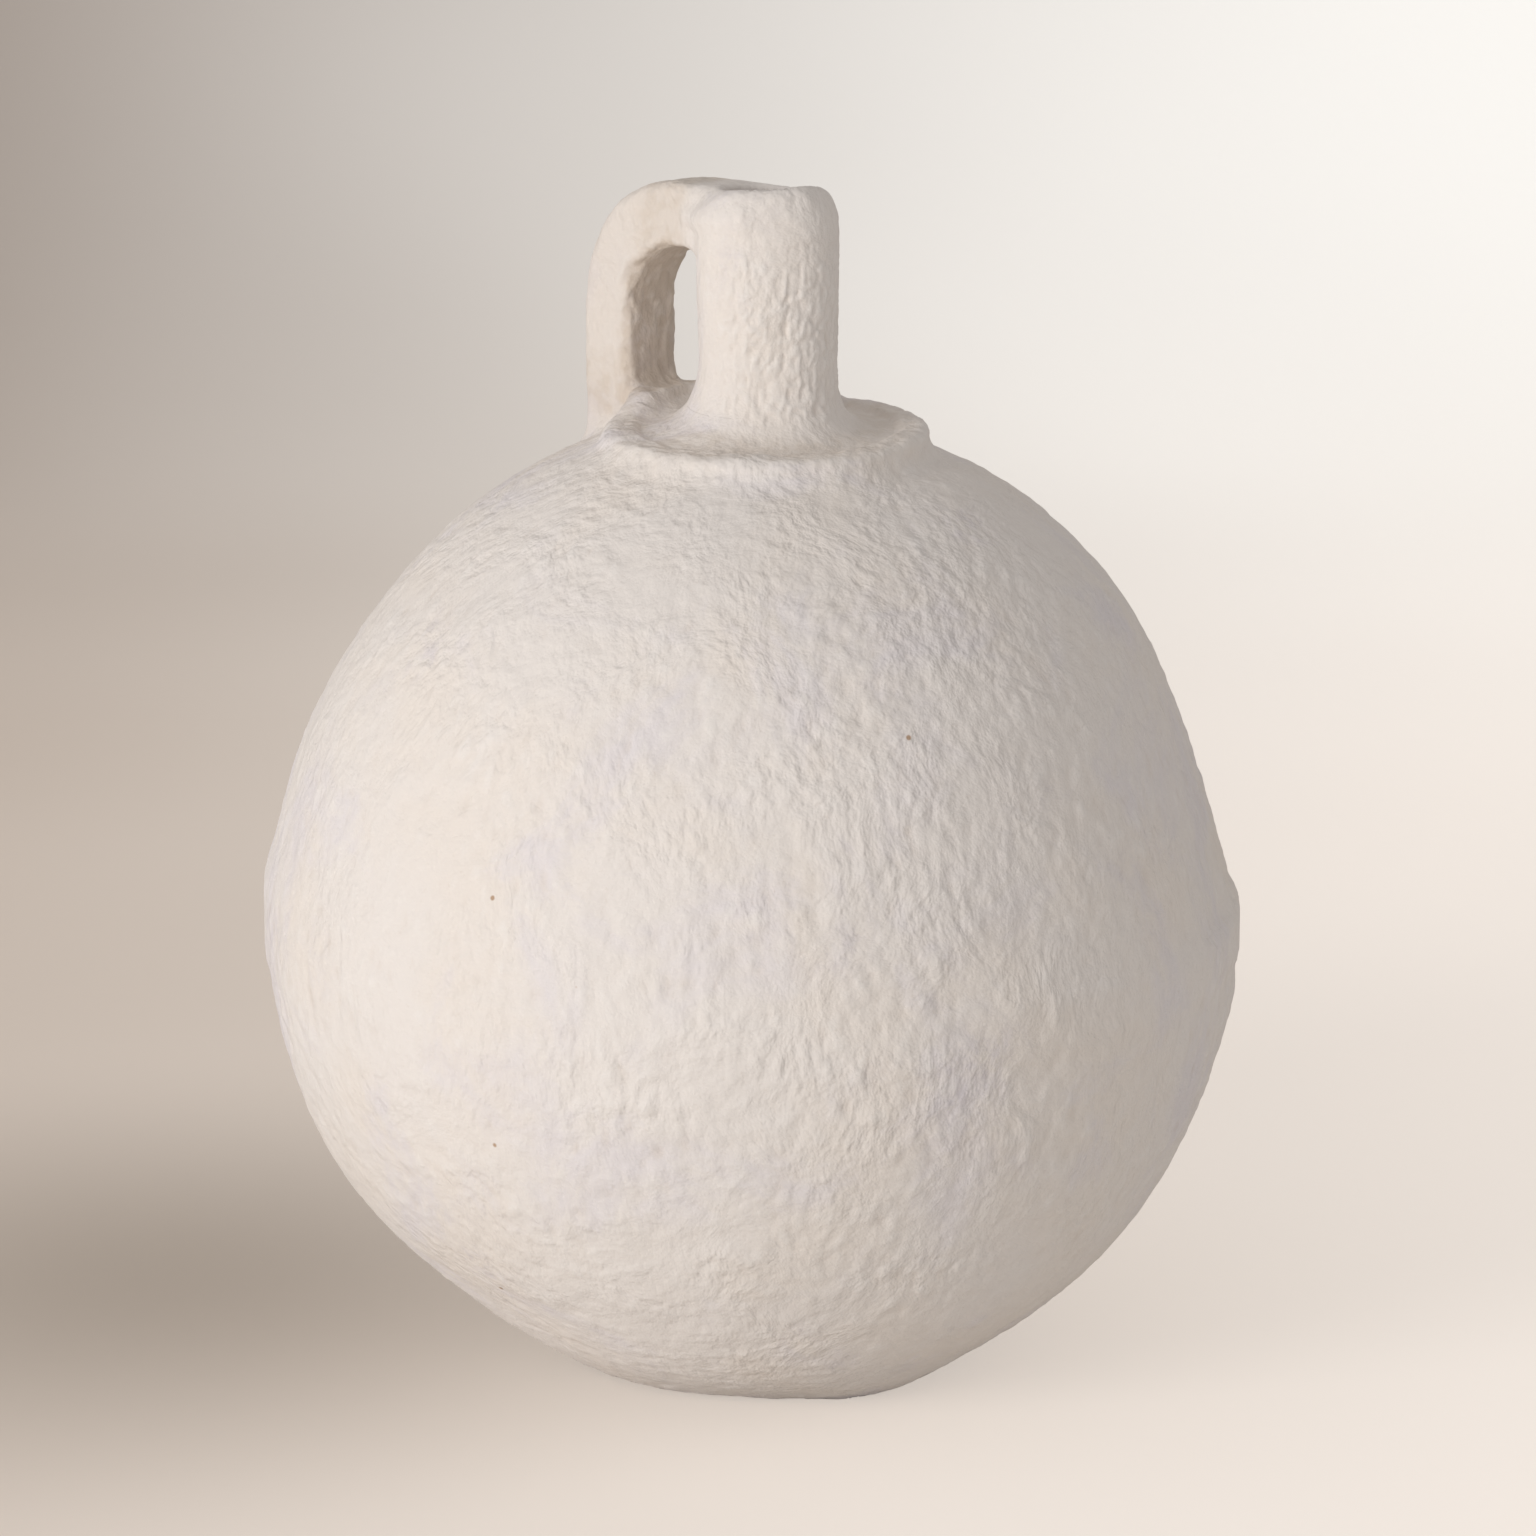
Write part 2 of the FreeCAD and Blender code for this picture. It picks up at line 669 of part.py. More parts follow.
def make_handle_head():
    """Pulp worked under and beside the handle where it leaves the neck."""
    body = new_body("handle_head", across="neck_offset", turn="handle_turn")
    underside = "handle_height - half_thickness"

    def head_section(name, growth, away, top):
        sketch = new_sketch(body, name, "YZ_Plane", away=away)
        corner = f"handle_inner_corner + {growth}"
        block = rounded_block(f"-half_width - {growth}", f"half_width + {growth}",
                              f"{underside} - {growth}", top, [corner, corner, None, None])
        draw(sketch, *block)
        return sketch

    low = head_section("head_spread", "fillet_spread", "neck_radius / 2", "handle_height")
    high = head_section("head_tip", "fillet_tip", "bend_start", "handle_height")
    loft(body, low, high)
    hole = head_section("head_hole", "fit_gap", "bend_start", "handle_height + cut_overrun")
    cut_through(body, hole)
    cut_round_neck(body, "head_clearance", "neck_radius + fit_gap",
                   "handle_height - handle_thickness", "handle_height + handle_thickness")
    return body


globe_form = make_globe_form()
pieces = [
    make_lower_shell(),
    make_upper_shell(),
    make_seam_band(),
    make_base_disc(),
    make_shoulder_collar(),
    make_neck_tube(),
    make_neck(),
    make_neck_root(),
    make_handle(globe_form),
    make_handle_core(),
    make_handle_foot(globe_form),
    make_handle_head(),
]
document.recompute()

for item in document.Objects:
    if "Invalid" in item.State or "Error" in item.State:
        raise ValueError(f"{item.Label} failed: {item.State}")
for piece in pieces:
    shape = piece.Shape
    if shape.isNull() or not shape.isValid():
        raise ValueError(f"{piece.Label} has no valid shape")
    box = shape.BoundBox
    print(f"{piece.Label:16s} solids {len(shape.Solids)}  volume {shape.Volume:10.0f}  "
          f"x {box.XMin:7.1f} {box.XMax:7.1f}  y {box.YMin:7.1f} {box.YMax:7.1f}  "
          f"z {box.ZMin:6.1f} {box.ZMax:6.1f}")

os.makedirs("parts", exist_ok=True)
for piece in pieces:
    piece.Shape.exportStep(f"parts/{piece.Label}.step")
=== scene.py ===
# %% [markdown]
# # A globe jug in paper pulp
#
# The jug is a squat globe with a low dished disc on its shoulder, a short neck and a
# strap handle, all in rough white paper pulp. Its inside, its sizes and the way it comes
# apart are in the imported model, which this lesson dresses: it only makes the skin.
#
# The idea of the lesson: wet pulp melts one form into the next, so the whole outside is
# first made as one form, given its lumps and strokes, and only then cut into the pieces
# that a maker would press and join.

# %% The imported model
import bmesh
import bpy
import math
import numpy as np
from mathutils import Matrix, Vector, noise
from mathutils.bvhtree import BVHTree


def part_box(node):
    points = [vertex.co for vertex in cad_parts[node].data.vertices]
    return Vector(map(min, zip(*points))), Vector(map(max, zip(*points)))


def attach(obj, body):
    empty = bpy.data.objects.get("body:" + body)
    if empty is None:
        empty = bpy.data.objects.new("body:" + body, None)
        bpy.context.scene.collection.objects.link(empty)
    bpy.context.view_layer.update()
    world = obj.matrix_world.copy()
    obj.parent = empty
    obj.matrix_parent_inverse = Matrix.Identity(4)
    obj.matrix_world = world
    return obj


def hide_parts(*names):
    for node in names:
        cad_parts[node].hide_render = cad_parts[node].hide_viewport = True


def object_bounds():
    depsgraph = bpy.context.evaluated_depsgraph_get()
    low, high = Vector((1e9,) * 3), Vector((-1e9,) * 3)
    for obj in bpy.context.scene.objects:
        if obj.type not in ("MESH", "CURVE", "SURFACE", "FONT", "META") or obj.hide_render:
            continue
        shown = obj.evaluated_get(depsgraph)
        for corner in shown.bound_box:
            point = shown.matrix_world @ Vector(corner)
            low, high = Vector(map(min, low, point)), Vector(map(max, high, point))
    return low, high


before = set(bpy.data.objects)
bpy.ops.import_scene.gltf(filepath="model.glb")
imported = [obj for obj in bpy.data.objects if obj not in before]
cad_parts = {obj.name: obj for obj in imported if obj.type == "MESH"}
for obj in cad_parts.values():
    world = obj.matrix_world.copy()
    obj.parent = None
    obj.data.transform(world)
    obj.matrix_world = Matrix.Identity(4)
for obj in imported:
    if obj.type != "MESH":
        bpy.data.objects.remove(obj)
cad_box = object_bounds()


def rounded(box):
    """A box's two corners, short enough to print."""
    return [tuple(round(value, 4) for value in corner) for corner in box]


print("packed model, lowest and highest corner:", rounded(cad_box))

# %% [markdown]
# ## Sizes
#
# Where the seam strip, the disc, the neck and the handle stand is read from the packed
# model. What it can't tell directly, such as the arcs of the globe's side, is named here
# once in metres. A maker would draw the same few arcs on a board and cut a template.

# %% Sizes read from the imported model
MM = 0.001
band_low, band_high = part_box("seam_band")
tube_low, tube_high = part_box("neck_tube")
collar_high, neck_high, disc_high, handle_high = [
    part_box(node)[1] for node in ("shoulder_collar", "neck", "base_disc", "handle")]

FIT_GAP = 0.2 * MM
band_radius = band_high.x
band_bottom = band_low.z - FIT_GAP
band_top = band_high.z + FIT_GAP
equator = (band_bottom + band_top) / 2
neck_x = (tube_low.x + tube_high.x) / 2
tube_radius = (tube_high.x - tube_low.x) / 2
collar_radius = collar_high.x - neck_x
collar_top = collar_high.z
neck_radius = neck_high.x - neck_x
mouth = cad_box[1].z
print(f"equator {equator:.4f}, neck at {neck_x:.4f}, disc {collar_radius:.4f}, neck {neck_radius:.4f}")

# %% Sizes of the globe's template
SHELL_RADIUS = 198.8 * MM
SHELL_WALL = 8 * MM
FLANK_RADIUS = 346 * MM
FLANK_LEAN = math.radians(10)
SHOULDER_TURN = math.radians(24.4)
SHOULDER_RADIUS = 200 * MM
CROWN_RADIUS = 58 * MM
FLOOR_THICKNESS = 12 * MM
BAND_SEAT_DEPTH = 1.8 * MM

flank_x = SHELL_RADIUS - FLANK_RADIUS * math.cos(FLANK_LEAN)
flank_z = band_top - FLANK_RADIUS * math.sin(FLANK_LEAN)
shoulder_x = flank_x + (FLANK_RADIUS - SHOULDER_RADIUS) * math.cos(SHOULDER_TURN)
shoulder_z = flank_z + (FLANK_RADIUS - SHOULDER_RADIUS) * math.sin(SHOULDER_TURN)
crown = shoulder_z + math.sqrt(SHOULDER_RADIUS ** 2 - (CROWN_RADIUS - shoulder_x) ** 2)
print(f"crown {crown:.4f}")

# %% Sizes of the disc, the neck and the handle
COLLAR_THICKNESS = 9 * MM
DISH_DEPTH = 2.4 * MM
DISH_RADIUS = 51 * MM
DISH_SLOPE = 4 * MM
RIM_ROUND = 2.2 * MM
SPIGOT_RADIUS = 27 * MM
MOUTH_TILT = math.radians(12.5)
MOUTH_RISE_RIGHT = math.radians(4)
LIP_START = 81 * MM
LIP_RISE = 22 * MM
LIP_DRAW = 5.5 * MM
LIP_BORE = 17 * MM
LIP_ROUND = 8 * MM
HANDLE_TURN = math.radians(135)
HANDLE_THICKNESS = 27 * MM
HANDLE_WIDTH = 30.4 * MM
HANDLE_BEND = 40 * MM
HANDLE_ROUND = 5.5 * MM
HEAD_RUN = 11.4 * MM

seat = collar_top - COLLAR_THICKNESS
seat_underside = seat - SHELL_WALL
dish_floor = collar_top - DISH_DEPTH
bend_start = neck_radius + HEAD_RUN
handle_reach = bend_start + HANDLE_BEND
handle_height = handle_high.z - HANDLE_THICKNESS / 2
lip_foot = collar_top + LIP_START
bore_foot = tube_high.z - 3 * LIP_BORE
print(f"seat {seat:.4f}, handle's middle line {handle_height:.4f}")

# %% [markdown]
# ## The melted form
#
# Every main form is written as a distance: how far a point is outside it, negative when
# inside. Two distances join in a soft union, whose melt says how far apart they start to
# run together. That is what a thumb does with wet pulp in a corner, and it is the reason
# for this way: a boolean union alone leaves a sharp crease at each joint, and a bevel on
# it tears where three forms meet.

# %% Joining distances
def soft_union(first, second, melt):
    """The distance to two forms that run together where they are nearer than melt."""
    share = np.clip(melt - np.abs(first - second), 0, None) / melt
    return np.minimum(first, second) - share ** 2 * melt / 4


def soft_cut(first, second, melt):
    """The distance to what two forms share, with the edge rounded over melt."""
    return -soft_union(-first, -second, melt)


def eased(low, high, value):
    """0 below low, 1 above high, and a soft step between them."""
    share = np.clip((value - low) / (high - low), 0, 1)
    return share * share * (3 - 2 * share)


def step(value, low, high):
    """A soft step from 0 to 1 as a length goes from low to high, in millimetres."""
    return eased(low * MM, high * MM, value)


def round_axis(points, across):
    """How far points are from an upright axis, and the way round it."""
    return (np.hypot(points[:, 0] - across, points[:, 1]),
            np.arctan2(points[:, 1], points[:, 0] - across))


def along_handle(points):
    """Points as the handle sees them: outwards from the neck, and across the strap."""
    ahead, aside = points[:, 0] - neck_x, points[:, 1]
    outwards = ahead * math.cos(HANDLE_TURN) + aside * math.sin(HANDLE_TURN)
    return outwards, aside * math.cos(HANDLE_TURN) - ahead * math.sin(HANDLE_TURN)

# %% The globe and its seam strip
BAND_PROUD = band_radius - SHELL_RADIUS
BAND_PROUD_AHEAD = 0.25 * MM
BAND_FEATHER = 5 * MM


def from_globe(points):
    """Distance from the globe: a ball below, a flank and a shoulder arc above."""
    radius, way_round = round_axis(points, 0)
    height = points[:, 2]
    ball = np.hypot(radius, height - equator) - SHELL_RADIUS
    flank = np.hypot(radius - flank_x, height - flank_z) - FLANK_RADIUS
    shoulder = np.hypot(radius - shoulder_x, height - shoulder_z) - SHOULDER_RADIUS
    above_turn = height - shoulder_z > (radius - shoulder_x) * math.tan(SHOULDER_TURN)
    upper = np.maximum(radius - SHELL_RADIUS, np.where(above_turn, shoulder, flank))
    globe = np.where(height < equator, ball, upper)
    proud = BAND_PROUD_AHEAD + (BAND_PROUD - BAND_PROUD_AHEAD) * np.cos(way_round) ** 4
    half = (band_top - band_bottom) / 2
    strip = proud * eased(half + BAND_FEATHER, half - BAND_FEATHER, np.abs(height - equator))
    return np.maximum(globe, height - crown) - strip

# %% The dished disc, and the pulp banked up against the handle's leg
DISC_RISE_BACK = 1.3 * MM
DISC_RISE_RIGHT = 0.9 * MM
RAMP_HEIGHT = 7.5 * MM
RAMP_START = 40 * MM
RAMP_TOP = 56 * MM
RAMP_HALF_WIDTH = 15 * MM
RAMP_FALL = 20 * MM


def from_collar(points):
    """Distance from the disc, which leans up to the back right and reaches into the globe."""
    radius, _ = round_axis(points, neck_x)
    outwards, across = along_handle(points)
    top = dish_floor + DISH_DEPTH * eased(DISH_RADIUS, DISH_RADIUS + DISH_SLOPE, radius)
    top += RAMP_HEIGHT * eased(RAMP_START, RAMP_TOP, outwards) \
        * eased(RAMP_HALF_WIDTH + RAMP_FALL, RAMP_HALF_WIDTH, np.abs(across))
    top += DISC_RISE_BACK * (1 + points[:, 1] / collar_radius)
    top += DISC_RISE_RIGHT * (points[:, 0] - neck_x) / collar_radius
    return soft_cut(radius - collar_radius, points[:, 2] - top, 2 * RIM_ROUND)

# %% The neck, its bore and the slanted mouth
NECK_CORNER = 0.7 * MM
NECK_BARREL = 0.9 * MM
BARREL_HEIGHT = mouth - 38 * MM
BARREL_REACH = 34 * MM
LIP_CREST = 1.2 * MM


def above_mouth(points):
    """How far points are above the mouth's plane, which falls to the back and left."""
    fall = (points[:, 1] + neck_radius - LIP_DRAW) * math.tan(MOUTH_TILT)
    rise = (points[:, 0] - neck_x) * math.tan(MOUTH_RISE_RIGHT)
    return (points[:, 2] - mouth - LIP_CREST + fall - rise) * math.cos(MOUTH_TILT)


def from_neck(points):
    """Distance from the neck: a little square, fuller near the top, drawn in at the mouth."""
    radius, way_round = round_axis(points, neck_x)
    height = points[:, 2]
    draw = LIP_DRAW * np.clip((height - lip_foot) / LIP_RISE, 0, 1) ** 2
    full = NECK_BARREL * np.exp(-((height - BARREL_HEIGHT) / BARREL_REACH) ** 2)
    corner = -NECK_CORNER * np.cos(4 * way_round)
    return soft_cut(radius - neck_radius - full - corner + draw, above_mouth(points), LIP_ROUND)


def from_bore(points):
    """Distance from the hollow of the lip, down to a place inside the card tube."""
    return np.maximum(round_axis(points, neck_x)[0] - LIP_BORE, bore_foot - points[:, 2])

# %% The handle
HEAD_RISE = 9.5 * MM


def round_bend(points):
    """How far points are past the bend's start, above its foot, and outside its line."""
    past_bend = np.clip(along_handle(points)[0] - bend_start, 0, None)
    above_bend = np.clip(points[:, 2] - handle_height + HANDLE_BEND, 0, None)
    return past_bend, above_bend, np.hypot(past_bend, above_bend) - HANDLE_BEND


def from_handle(points):
    """Distance from the strap, which runs out, round a bend and down."""
    outwards, across = along_handle(points)
    thick = np.abs(round_bend(points)[2]) - HANDLE_THICKNESS / 2 + HANDLE_ROUND
    wide = np.abs(across) - HANDLE_WIDTH / 2 + HANDLE_ROUND
    corner = np.hypot(np.clip(thick, 0, None), np.clip(wide, 0, None))
    strap = corner + np.clip(np.maximum(thick, wide), None, 0) - HANDLE_ROUND
    rise = HEAD_RISE * step(outwards, 2, 42)
    strap = np.maximum(np.maximum(strap, -outwards), seat_underside - points[:, 2])
    return soft_cut(strap, above_mouth(points) - rise, HEAD_RISE / 2)

# %% All of it melted together
COLLAR_MELT = 11 * MM
COLLAR_CRISP = 4 * MM
ROOT_MELT = 22 * MM
ROOT_MELT_LEFT = 30 * MM
HANDLE_MELT = 9 * MM
HEAD_MELT = 14 * MM
LIP_MELT = 4 * MM
PROBE = 0.4 * MM


def from_form(points):
    """Distance from the whole outside of the jug."""
    right = eased(0, 1, (points[:, 0] - neck_x) / collar_radius)
    left = np.clip((neck_x - points[:, 0]) / neck_radius, 0, 1)
    high = step(points[:, 2] - handle_height, -6, 4) * step(above_mouth(points), -2, -12)
    form = soft_union(from_globe(points), from_collar(points), COLLAR_MELT - COLLAR_CRISP * right)
    form = soft_union(form, from_neck(points), ROOT_MELT + (ROOT_MELT_LEFT - ROOT_MELT) * left)
    form = soft_union(form, from_handle(points), HANDLE_MELT + HEAD_MELT * high)
    return np.maximum(soft_cut(form, -from_bore(points), LIP_MELT), -points[:, 2])


def slope_of(points):
    """How the distance grows at points, along x, y and z."""
    slopes = [from_form(points + PROBE * way) - from_form(points - PROBE * way) for way in np.eye(3)]
    return np.stack(slopes, axis=1) / (2 * PROBE)


def facing(points):
    """The outward direction at points: the way in which the distance grows."""
    slope = slope_of(points)
    return slope / np.maximum(np.linalg.norm(slope, axis=1, keepdims=True), 1e-9)


def drawn_onto_form(points, steps=6):
    """Points moved along the slope until they lie on the form."""
    for _ in range(steps):
        slope = slope_of(points)
        steep = np.clip((slope ** 2).sum(axis=1), 0.25, None)
        points = points - 0.9 * slope * (from_form(points) / steep)[:, None]
    return points

# %% [markdown]
# ## A mesh for the form
#
# The mesh needs cells that are alike everywhere, also where the handle runs into the neck.
# Rough closed shapes are laid into each other, and a voxel remesh takes their common
# outside. It only has to be right to a few millimetres, because its vertices are then
# drawn onto the melted form.

# %% Turning a line round an axis
TINY = 0.01 * MM


def chain(spots):
    """A bmesh form of vertices, each joined to the next by an edge."""
    form = bmesh.new()
    verts = [form.verts.new(spot) for spot in spots]
    for pair in zip(verts, verts[1:]):
        form.edges.new(pair)
    return form


def turned(line, across=0.0, steps=96):
    """A closed form from a line of (radius, height) points, turned once round."""
    form = chain([(across + radius, 0, height) for radius, height in line])
    bmesh.ops.spin(form, geom=form.verts[:] + form.edges[:], cent=(across, 0, 0), axis=(0, 0, 1),
                   angle=math.tau, steps=steps, use_merge=True)
    bmesh.ops.remove_doubles(form, verts=form.verts, dist=TINY)
    bmesh.ops.recalc_face_normals(form, faces=form.faces)
    return form


def arc(centre, radius, first, last, count):
    """Points (radius, height) along an arc, between two angles in degrees."""
    turns = np.radians(np.linspace(first, last, count))
    return [(centre[0] + radius * math.cos(t), centre[1] + radius * math.sin(t)) for t in turns]


def linked(name, data):
    """A new object in the scene, at the origin."""
    item = bpy.data.objects.new(name, data)
    bpy.context.scene.collection.objects.link(item)
    return item


def as_object(form, name):
    """A Blender object from a bmesh, which is used up."""
    mesh = bpy.data.meshes.new(name)
    form.to_mesh(mesh)
    form.free()
    return linked(name, mesh)

# %% Shapes that stand along the handle
def only(kind, items):
    """Those items that are bmesh vertices or faces."""
    return [item for item in items if isinstance(item, kind)]


def swung_to_handle(form):
    """Turns a form drawn along x into the handle's direction, out from the neck."""
    turn = Matrix.Translation((neck_x, 0, 0)) @ Matrix.Rotation(HANDLE_TURN, 4, "Z")
    bmesh.ops.transform(form, matrix=turn, verts=form.verts)
    return form


def block(inner, outer, half_width, bottom, top):
    """A block along the handle: from inner to outer, away from the neck's axis."""
    form = bmesh.new()
    place = Matrix.Translation(((inner + outer) / 2, 0, (bottom + top) / 2))
    size = Matrix.Diagonal((outer - inner, 2 * half_width, top - bottom, 1))
    bmesh.ops.create_cube(form, size=1, matrix=place @ size)
    return swung_to_handle(form)


def extruded(form, faces, way):
    """Extrudes faces and moves the new ends, without leaving a wall inside."""
    run = bmesh.ops.extrude_face_region(form, geom=faces)["geom"]
    bmesh.ops.translate(form, vec=way, verts=only(bmesh.types.BMVert, run))
    return only(bmesh.types.BMFace, run)


def drawn_along_handle(form, start, foot):
    """Draws a flat section out of the neck, round the bend and down to the foot."""
    upright = Matrix.Translation((start, 0, handle_height)) @ Matrix.Rotation(math.radians(90), 4, "Y")
    bmesh.ops.transform(form, matrix=upright, verts=form.verts)
    before_bend = extruded(form, form.faces[:], (bend_start - start, 0, 0))
    bend = bmesh.ops.spin(form, geom=before_bend, axis=(0, 1, 0), angle=math.radians(90), steps=12,
                          cent=(bend_start, 0, handle_height - HANDLE_BEND))["geom_last"]
    after_bend = only(bmesh.types.BMFace, bend)
    extruded(form, after_bend, (0, 0, foot - handle_height + HANDLE_BEND))
    bmesh.ops.delete(form, geom=before_bend + after_bend, context="FACES_ONLY")
    swung_to_handle(form)
    bmesh.ops.recalc_face_normals(form, faces=form.faces)
    return form

# %% Rough shapes laid into each other
LIP_SHORT = 4 * MM
BANK_SHORT = 4 * MM
BANK_LOW = 2 * MM


def rough_globe():
    """The globe as a turned line from the middle of the foot to the crown."""
    low = math.degrees(math.asin(-equator / SHELL_RADIUS))
    top = math.degrees(math.acos((CROWN_RADIUS - shoulder_x) / SHOULDER_RADIUS))
    turn = math.degrees(SHOULDER_TURN)
    return turned([(0, 0)] + arc((0, equator), SHELL_RADIUS, low, -4, 24)
                  + [(band_radius, band_bottom), (band_radius, band_top)]
                  + arc((flank_x, flank_z), FLANK_RADIUS, math.degrees(FLANK_LEAN), turn, 8)
                  + arc((shoulder_x, shoulder_z), SHOULDER_RADIUS, turn, top, 16)[1:] + [(0, crown)])


def rough_neck():
    """The disc and the neck, with the bore let in from the mouth."""
    lip = mouth - LIP_SHORT
    return turned([(0, seat_underside), (collar_radius, seat_underside), (collar_radius, collar_top),
                   (DISH_RADIUS, dish_floor), (neck_radius, dish_floor), (neck_radius, lip_foot),
                   (neck_radius - LIP_DRAW, lip), (LIP_BORE, lip), (LIP_BORE, bore_foot),
                   (0, bore_foot)], across=neck_x)


def rough_handle():
    """The strap: its section drawn along the handle."""
    form = bmesh.new()
    bmesh.ops.create_grid(form, x_segments=1, y_segments=1, size=0.5)
    bmesh.ops.scale(form, vec=(HANDLE_THICKNESS, HANDLE_WIDTH, 1), verts=form.verts)
    return drawn_along_handle(form, LIP_BORE + LIP_SHORT, seat_underside)


def rough_bank():
    """The pulp banked up in front of the handle's leg, as a block."""
    inner = RAMP_TOP - BANK_SHORT
    return block(inner, 2 * inner - neck_radius, RAMP_HALF_WIDTH, seat_underside,
                 collar_top + RAMP_HEIGHT - BANK_LOW)

# %% One skin over all of them
CELL = 2.1 * MM


def joined(forms, name):
    """Several bmesh forms as one object."""
    whole = bmesh.new()
    for form in forms:
        passing = bpy.data.meshes.new("passing")
        form.to_mesh(passing)
        form.free()
        whole.from_mesh(passing)
        bpy.data.meshes.remove(passing)
    return as_object(whole, name)


def finished_mesh(piece):
    """Carries out the piece's modifiers, which are then removed."""
    graph = bpy.context.evaluated_depsgraph_get()
    mesh = bpy.data.meshes.new_from_object(piece.evaluated_get(graph))
    old = piece.data
    piece.modifiers.clear()
    piece.data = mesh
    bpy.data.meshes.remove(old)


skin = joined([rough_globe(), rough_neck(), rough_handle(), rough_bank()], "skin")
remesh = skin.modifiers.new("even_cells", "REMESH")
remesh.mode = "VOXEL"
remesh.voxel_size = CELL
finished_mesh(skin)
print(f"skin: {len(skin.data.polygons)} even cells")

# %% [markdown]
# The disc, the neck and the handle are small and seen close, so their cells are halved
# before the vertices are drawn onto the form.

# %% Finer cells round the neck
FINE_RADIUS = 84 * MM
FINE_HEIGHT = 370 * MM
FOOT_FINE_RADIUS = 116 * MM


def halve_cells_on_top(piece):
    """Cuts each cell of the disc, the neck and the handle in four."""
    form = bmesh.new()
    form.from_mesh(piece.data)
    chosen = set()
    for face in form.faces:
        middle = face.calc_center_median()
        ahead = middle.x - neck_x
        outwards = math.hypot(ahead, middle.y)
        by_leg = middle.y > ahead and middle.x < 10 * MM and outwards < FOOT_FINE_RADIUS
        if middle.z >= FINE_HEIGHT and (outwards < FINE_RADIUS or by_leg):
            chosen.update(face.edges)
    bmesh.ops.subdivide_edges(form, edges=list(chosen), cuts=1, use_grid_fill=True)
    bmesh.ops.triangulate(form, faces=[face for face in form.faces if len(face.verts) > 4])
    form.to_mesh(piece.data)
    form.free()


halve_cells_on_top(skin)
print(f"skin: {len(skin.data.vertices)} vertices after the finer cells")

# %% Vertices drawn onto the melted form
def places(mesh):
    """The mesh's vertices as rows of x, y, z."""
    spots = np.empty(len(mesh.vertices) * 3)
    mesh.vertices.foreach_get("co", spots)
    return spots.reshape(-1, 3)


def put_back(mesh, spots):
    """Writes rows of x, y, z back into the mesh's vertices."""
    mesh.vertices.foreach_set("co", spots.astype(np.float32).ravel())
    mesh.update()


spots = drawn_onto_form(places(skin.data))
print(f"farthest vertex from the form now: {np.abs(from_form(spots)).max() / MM:.2f} mm")
put_back(skin.data, spots)

# %% [markdown]
# ## Lumps, strokes and wrinkles
#
# Dry pulp keeps every touch: broad swellings from the form it was pressed on, lumps from
# the wet mass, and short ridges from the fingers and the brush, upright on the belly,
# level near the foot and the disc, along the strap on the handle. A texture would leave
# the outline smooth, so each vertex is moved outwards or inwards. Smooth noise gives the
# lumps, and noise read along stretched coordinates gives the strokes. Sizes and heights
# in this part are in millimetres.

# %% Noise in lumps
def noise_at(places, key):
    """Smooth noise, about -1 to 1. Another key, another pattern."""
    rows = (places + key * 17.31).tolist()
    return np.fromiter(map(noise.noise, rows), float, len(rows))


def lumps(points, size, key):
    """Noise in round lumps of a size."""
    return noise_at(points / (size * MM), key)


def combed(way_round, along, girth, width, length, key):
    """Noise in strokes: width round the axis, length along it."""
    return noise_at(np.stack([np.cos(way_round) * girth / width, np.sin(way_round) * girth / width,
                              along / length], axis=1), key)


def seeds(points, spacing, key):
    """How far each point is from the nearest of many scattered seeds, and a number from
    0 to 1 that tells that seed from the others."""
    found = [noise.voronoi(row) for row in (points / (spacing * MM) + key * 7.77).tolist()]
    away = np.array([distances[0] for distances, _ in found]) * spacing
    mark = np.array([spots[0].x * 3.7 + spots[0].y * 5.3 + spots[0].z * 7.1 for _, spots in found])
    return away, mark - np.floor(mark)

# %% Flats and swellings of the pressed globe
# Each one: way round and slope of its middle in degrees, half width round, half width
# up and down, and how far it stands out.
PRESSED = [
    (-8, 16, 60, 62, -5.2), (-16, 47, 70, 34, 3), (-12, 62, 60, 30, 3), (-176, 22, 70, 34, 2),
    (-142, -47, 70, 60, -7.6), (-176, -20, 60, 30, -0.4), (180, 6.5, 70, 11, 1.8),
    (-5, -8, 60, 14, 1.7), (-104, -6.5, 16, 2.6, 0.9), (-99, -3.5, 12, 2.4, -0.6),
    (-78, -8, 22, 3, 0.6), (-52, -63, 30, 22, 3), (-96, -64, 50, 20, -1.6),
    (-100, 24, 60, 50, -1.2), (-62, 2, 60, 40, -0.8), (74, 30, 70, 50, -2.6),
    (120, -20, 80, 50, -2.4), (28, -30, 60, 50, 1.2), (150, 40, 60, 40, -1.4),
]
BAND_CALM = 16


def pressed(points):
    """Where the globe is pressed flat or swells, away from the seam strip."""
    moved = np.zeros(len(points))
    from_middle = points - (0, 0, equator)
    for way, slope, wide, high, depth in PRESSED:
        way, slope = math.radians(way), math.radians(slope)
        ahead = Vector((math.cos(way) * math.cos(slope), math.sin(way) * math.cos(slope),
                        math.sin(slope)))
        aside = Vector((-math.sin(way), math.cos(way), 0))
        sideways = from_middle @ np.array(aside) / (wide * MM)
        upwards = from_middle @ np.array(ahead.cross(aside)) / (high * MM)
        moved += depth * np.exp(-sideways ** 2 - upwards ** 2) * (from_middle @ np.array(ahead) > 0)
    return moved * step(np.abs(points[:, 2] - equator), BAND_CALM / 3, BAND_CALM)

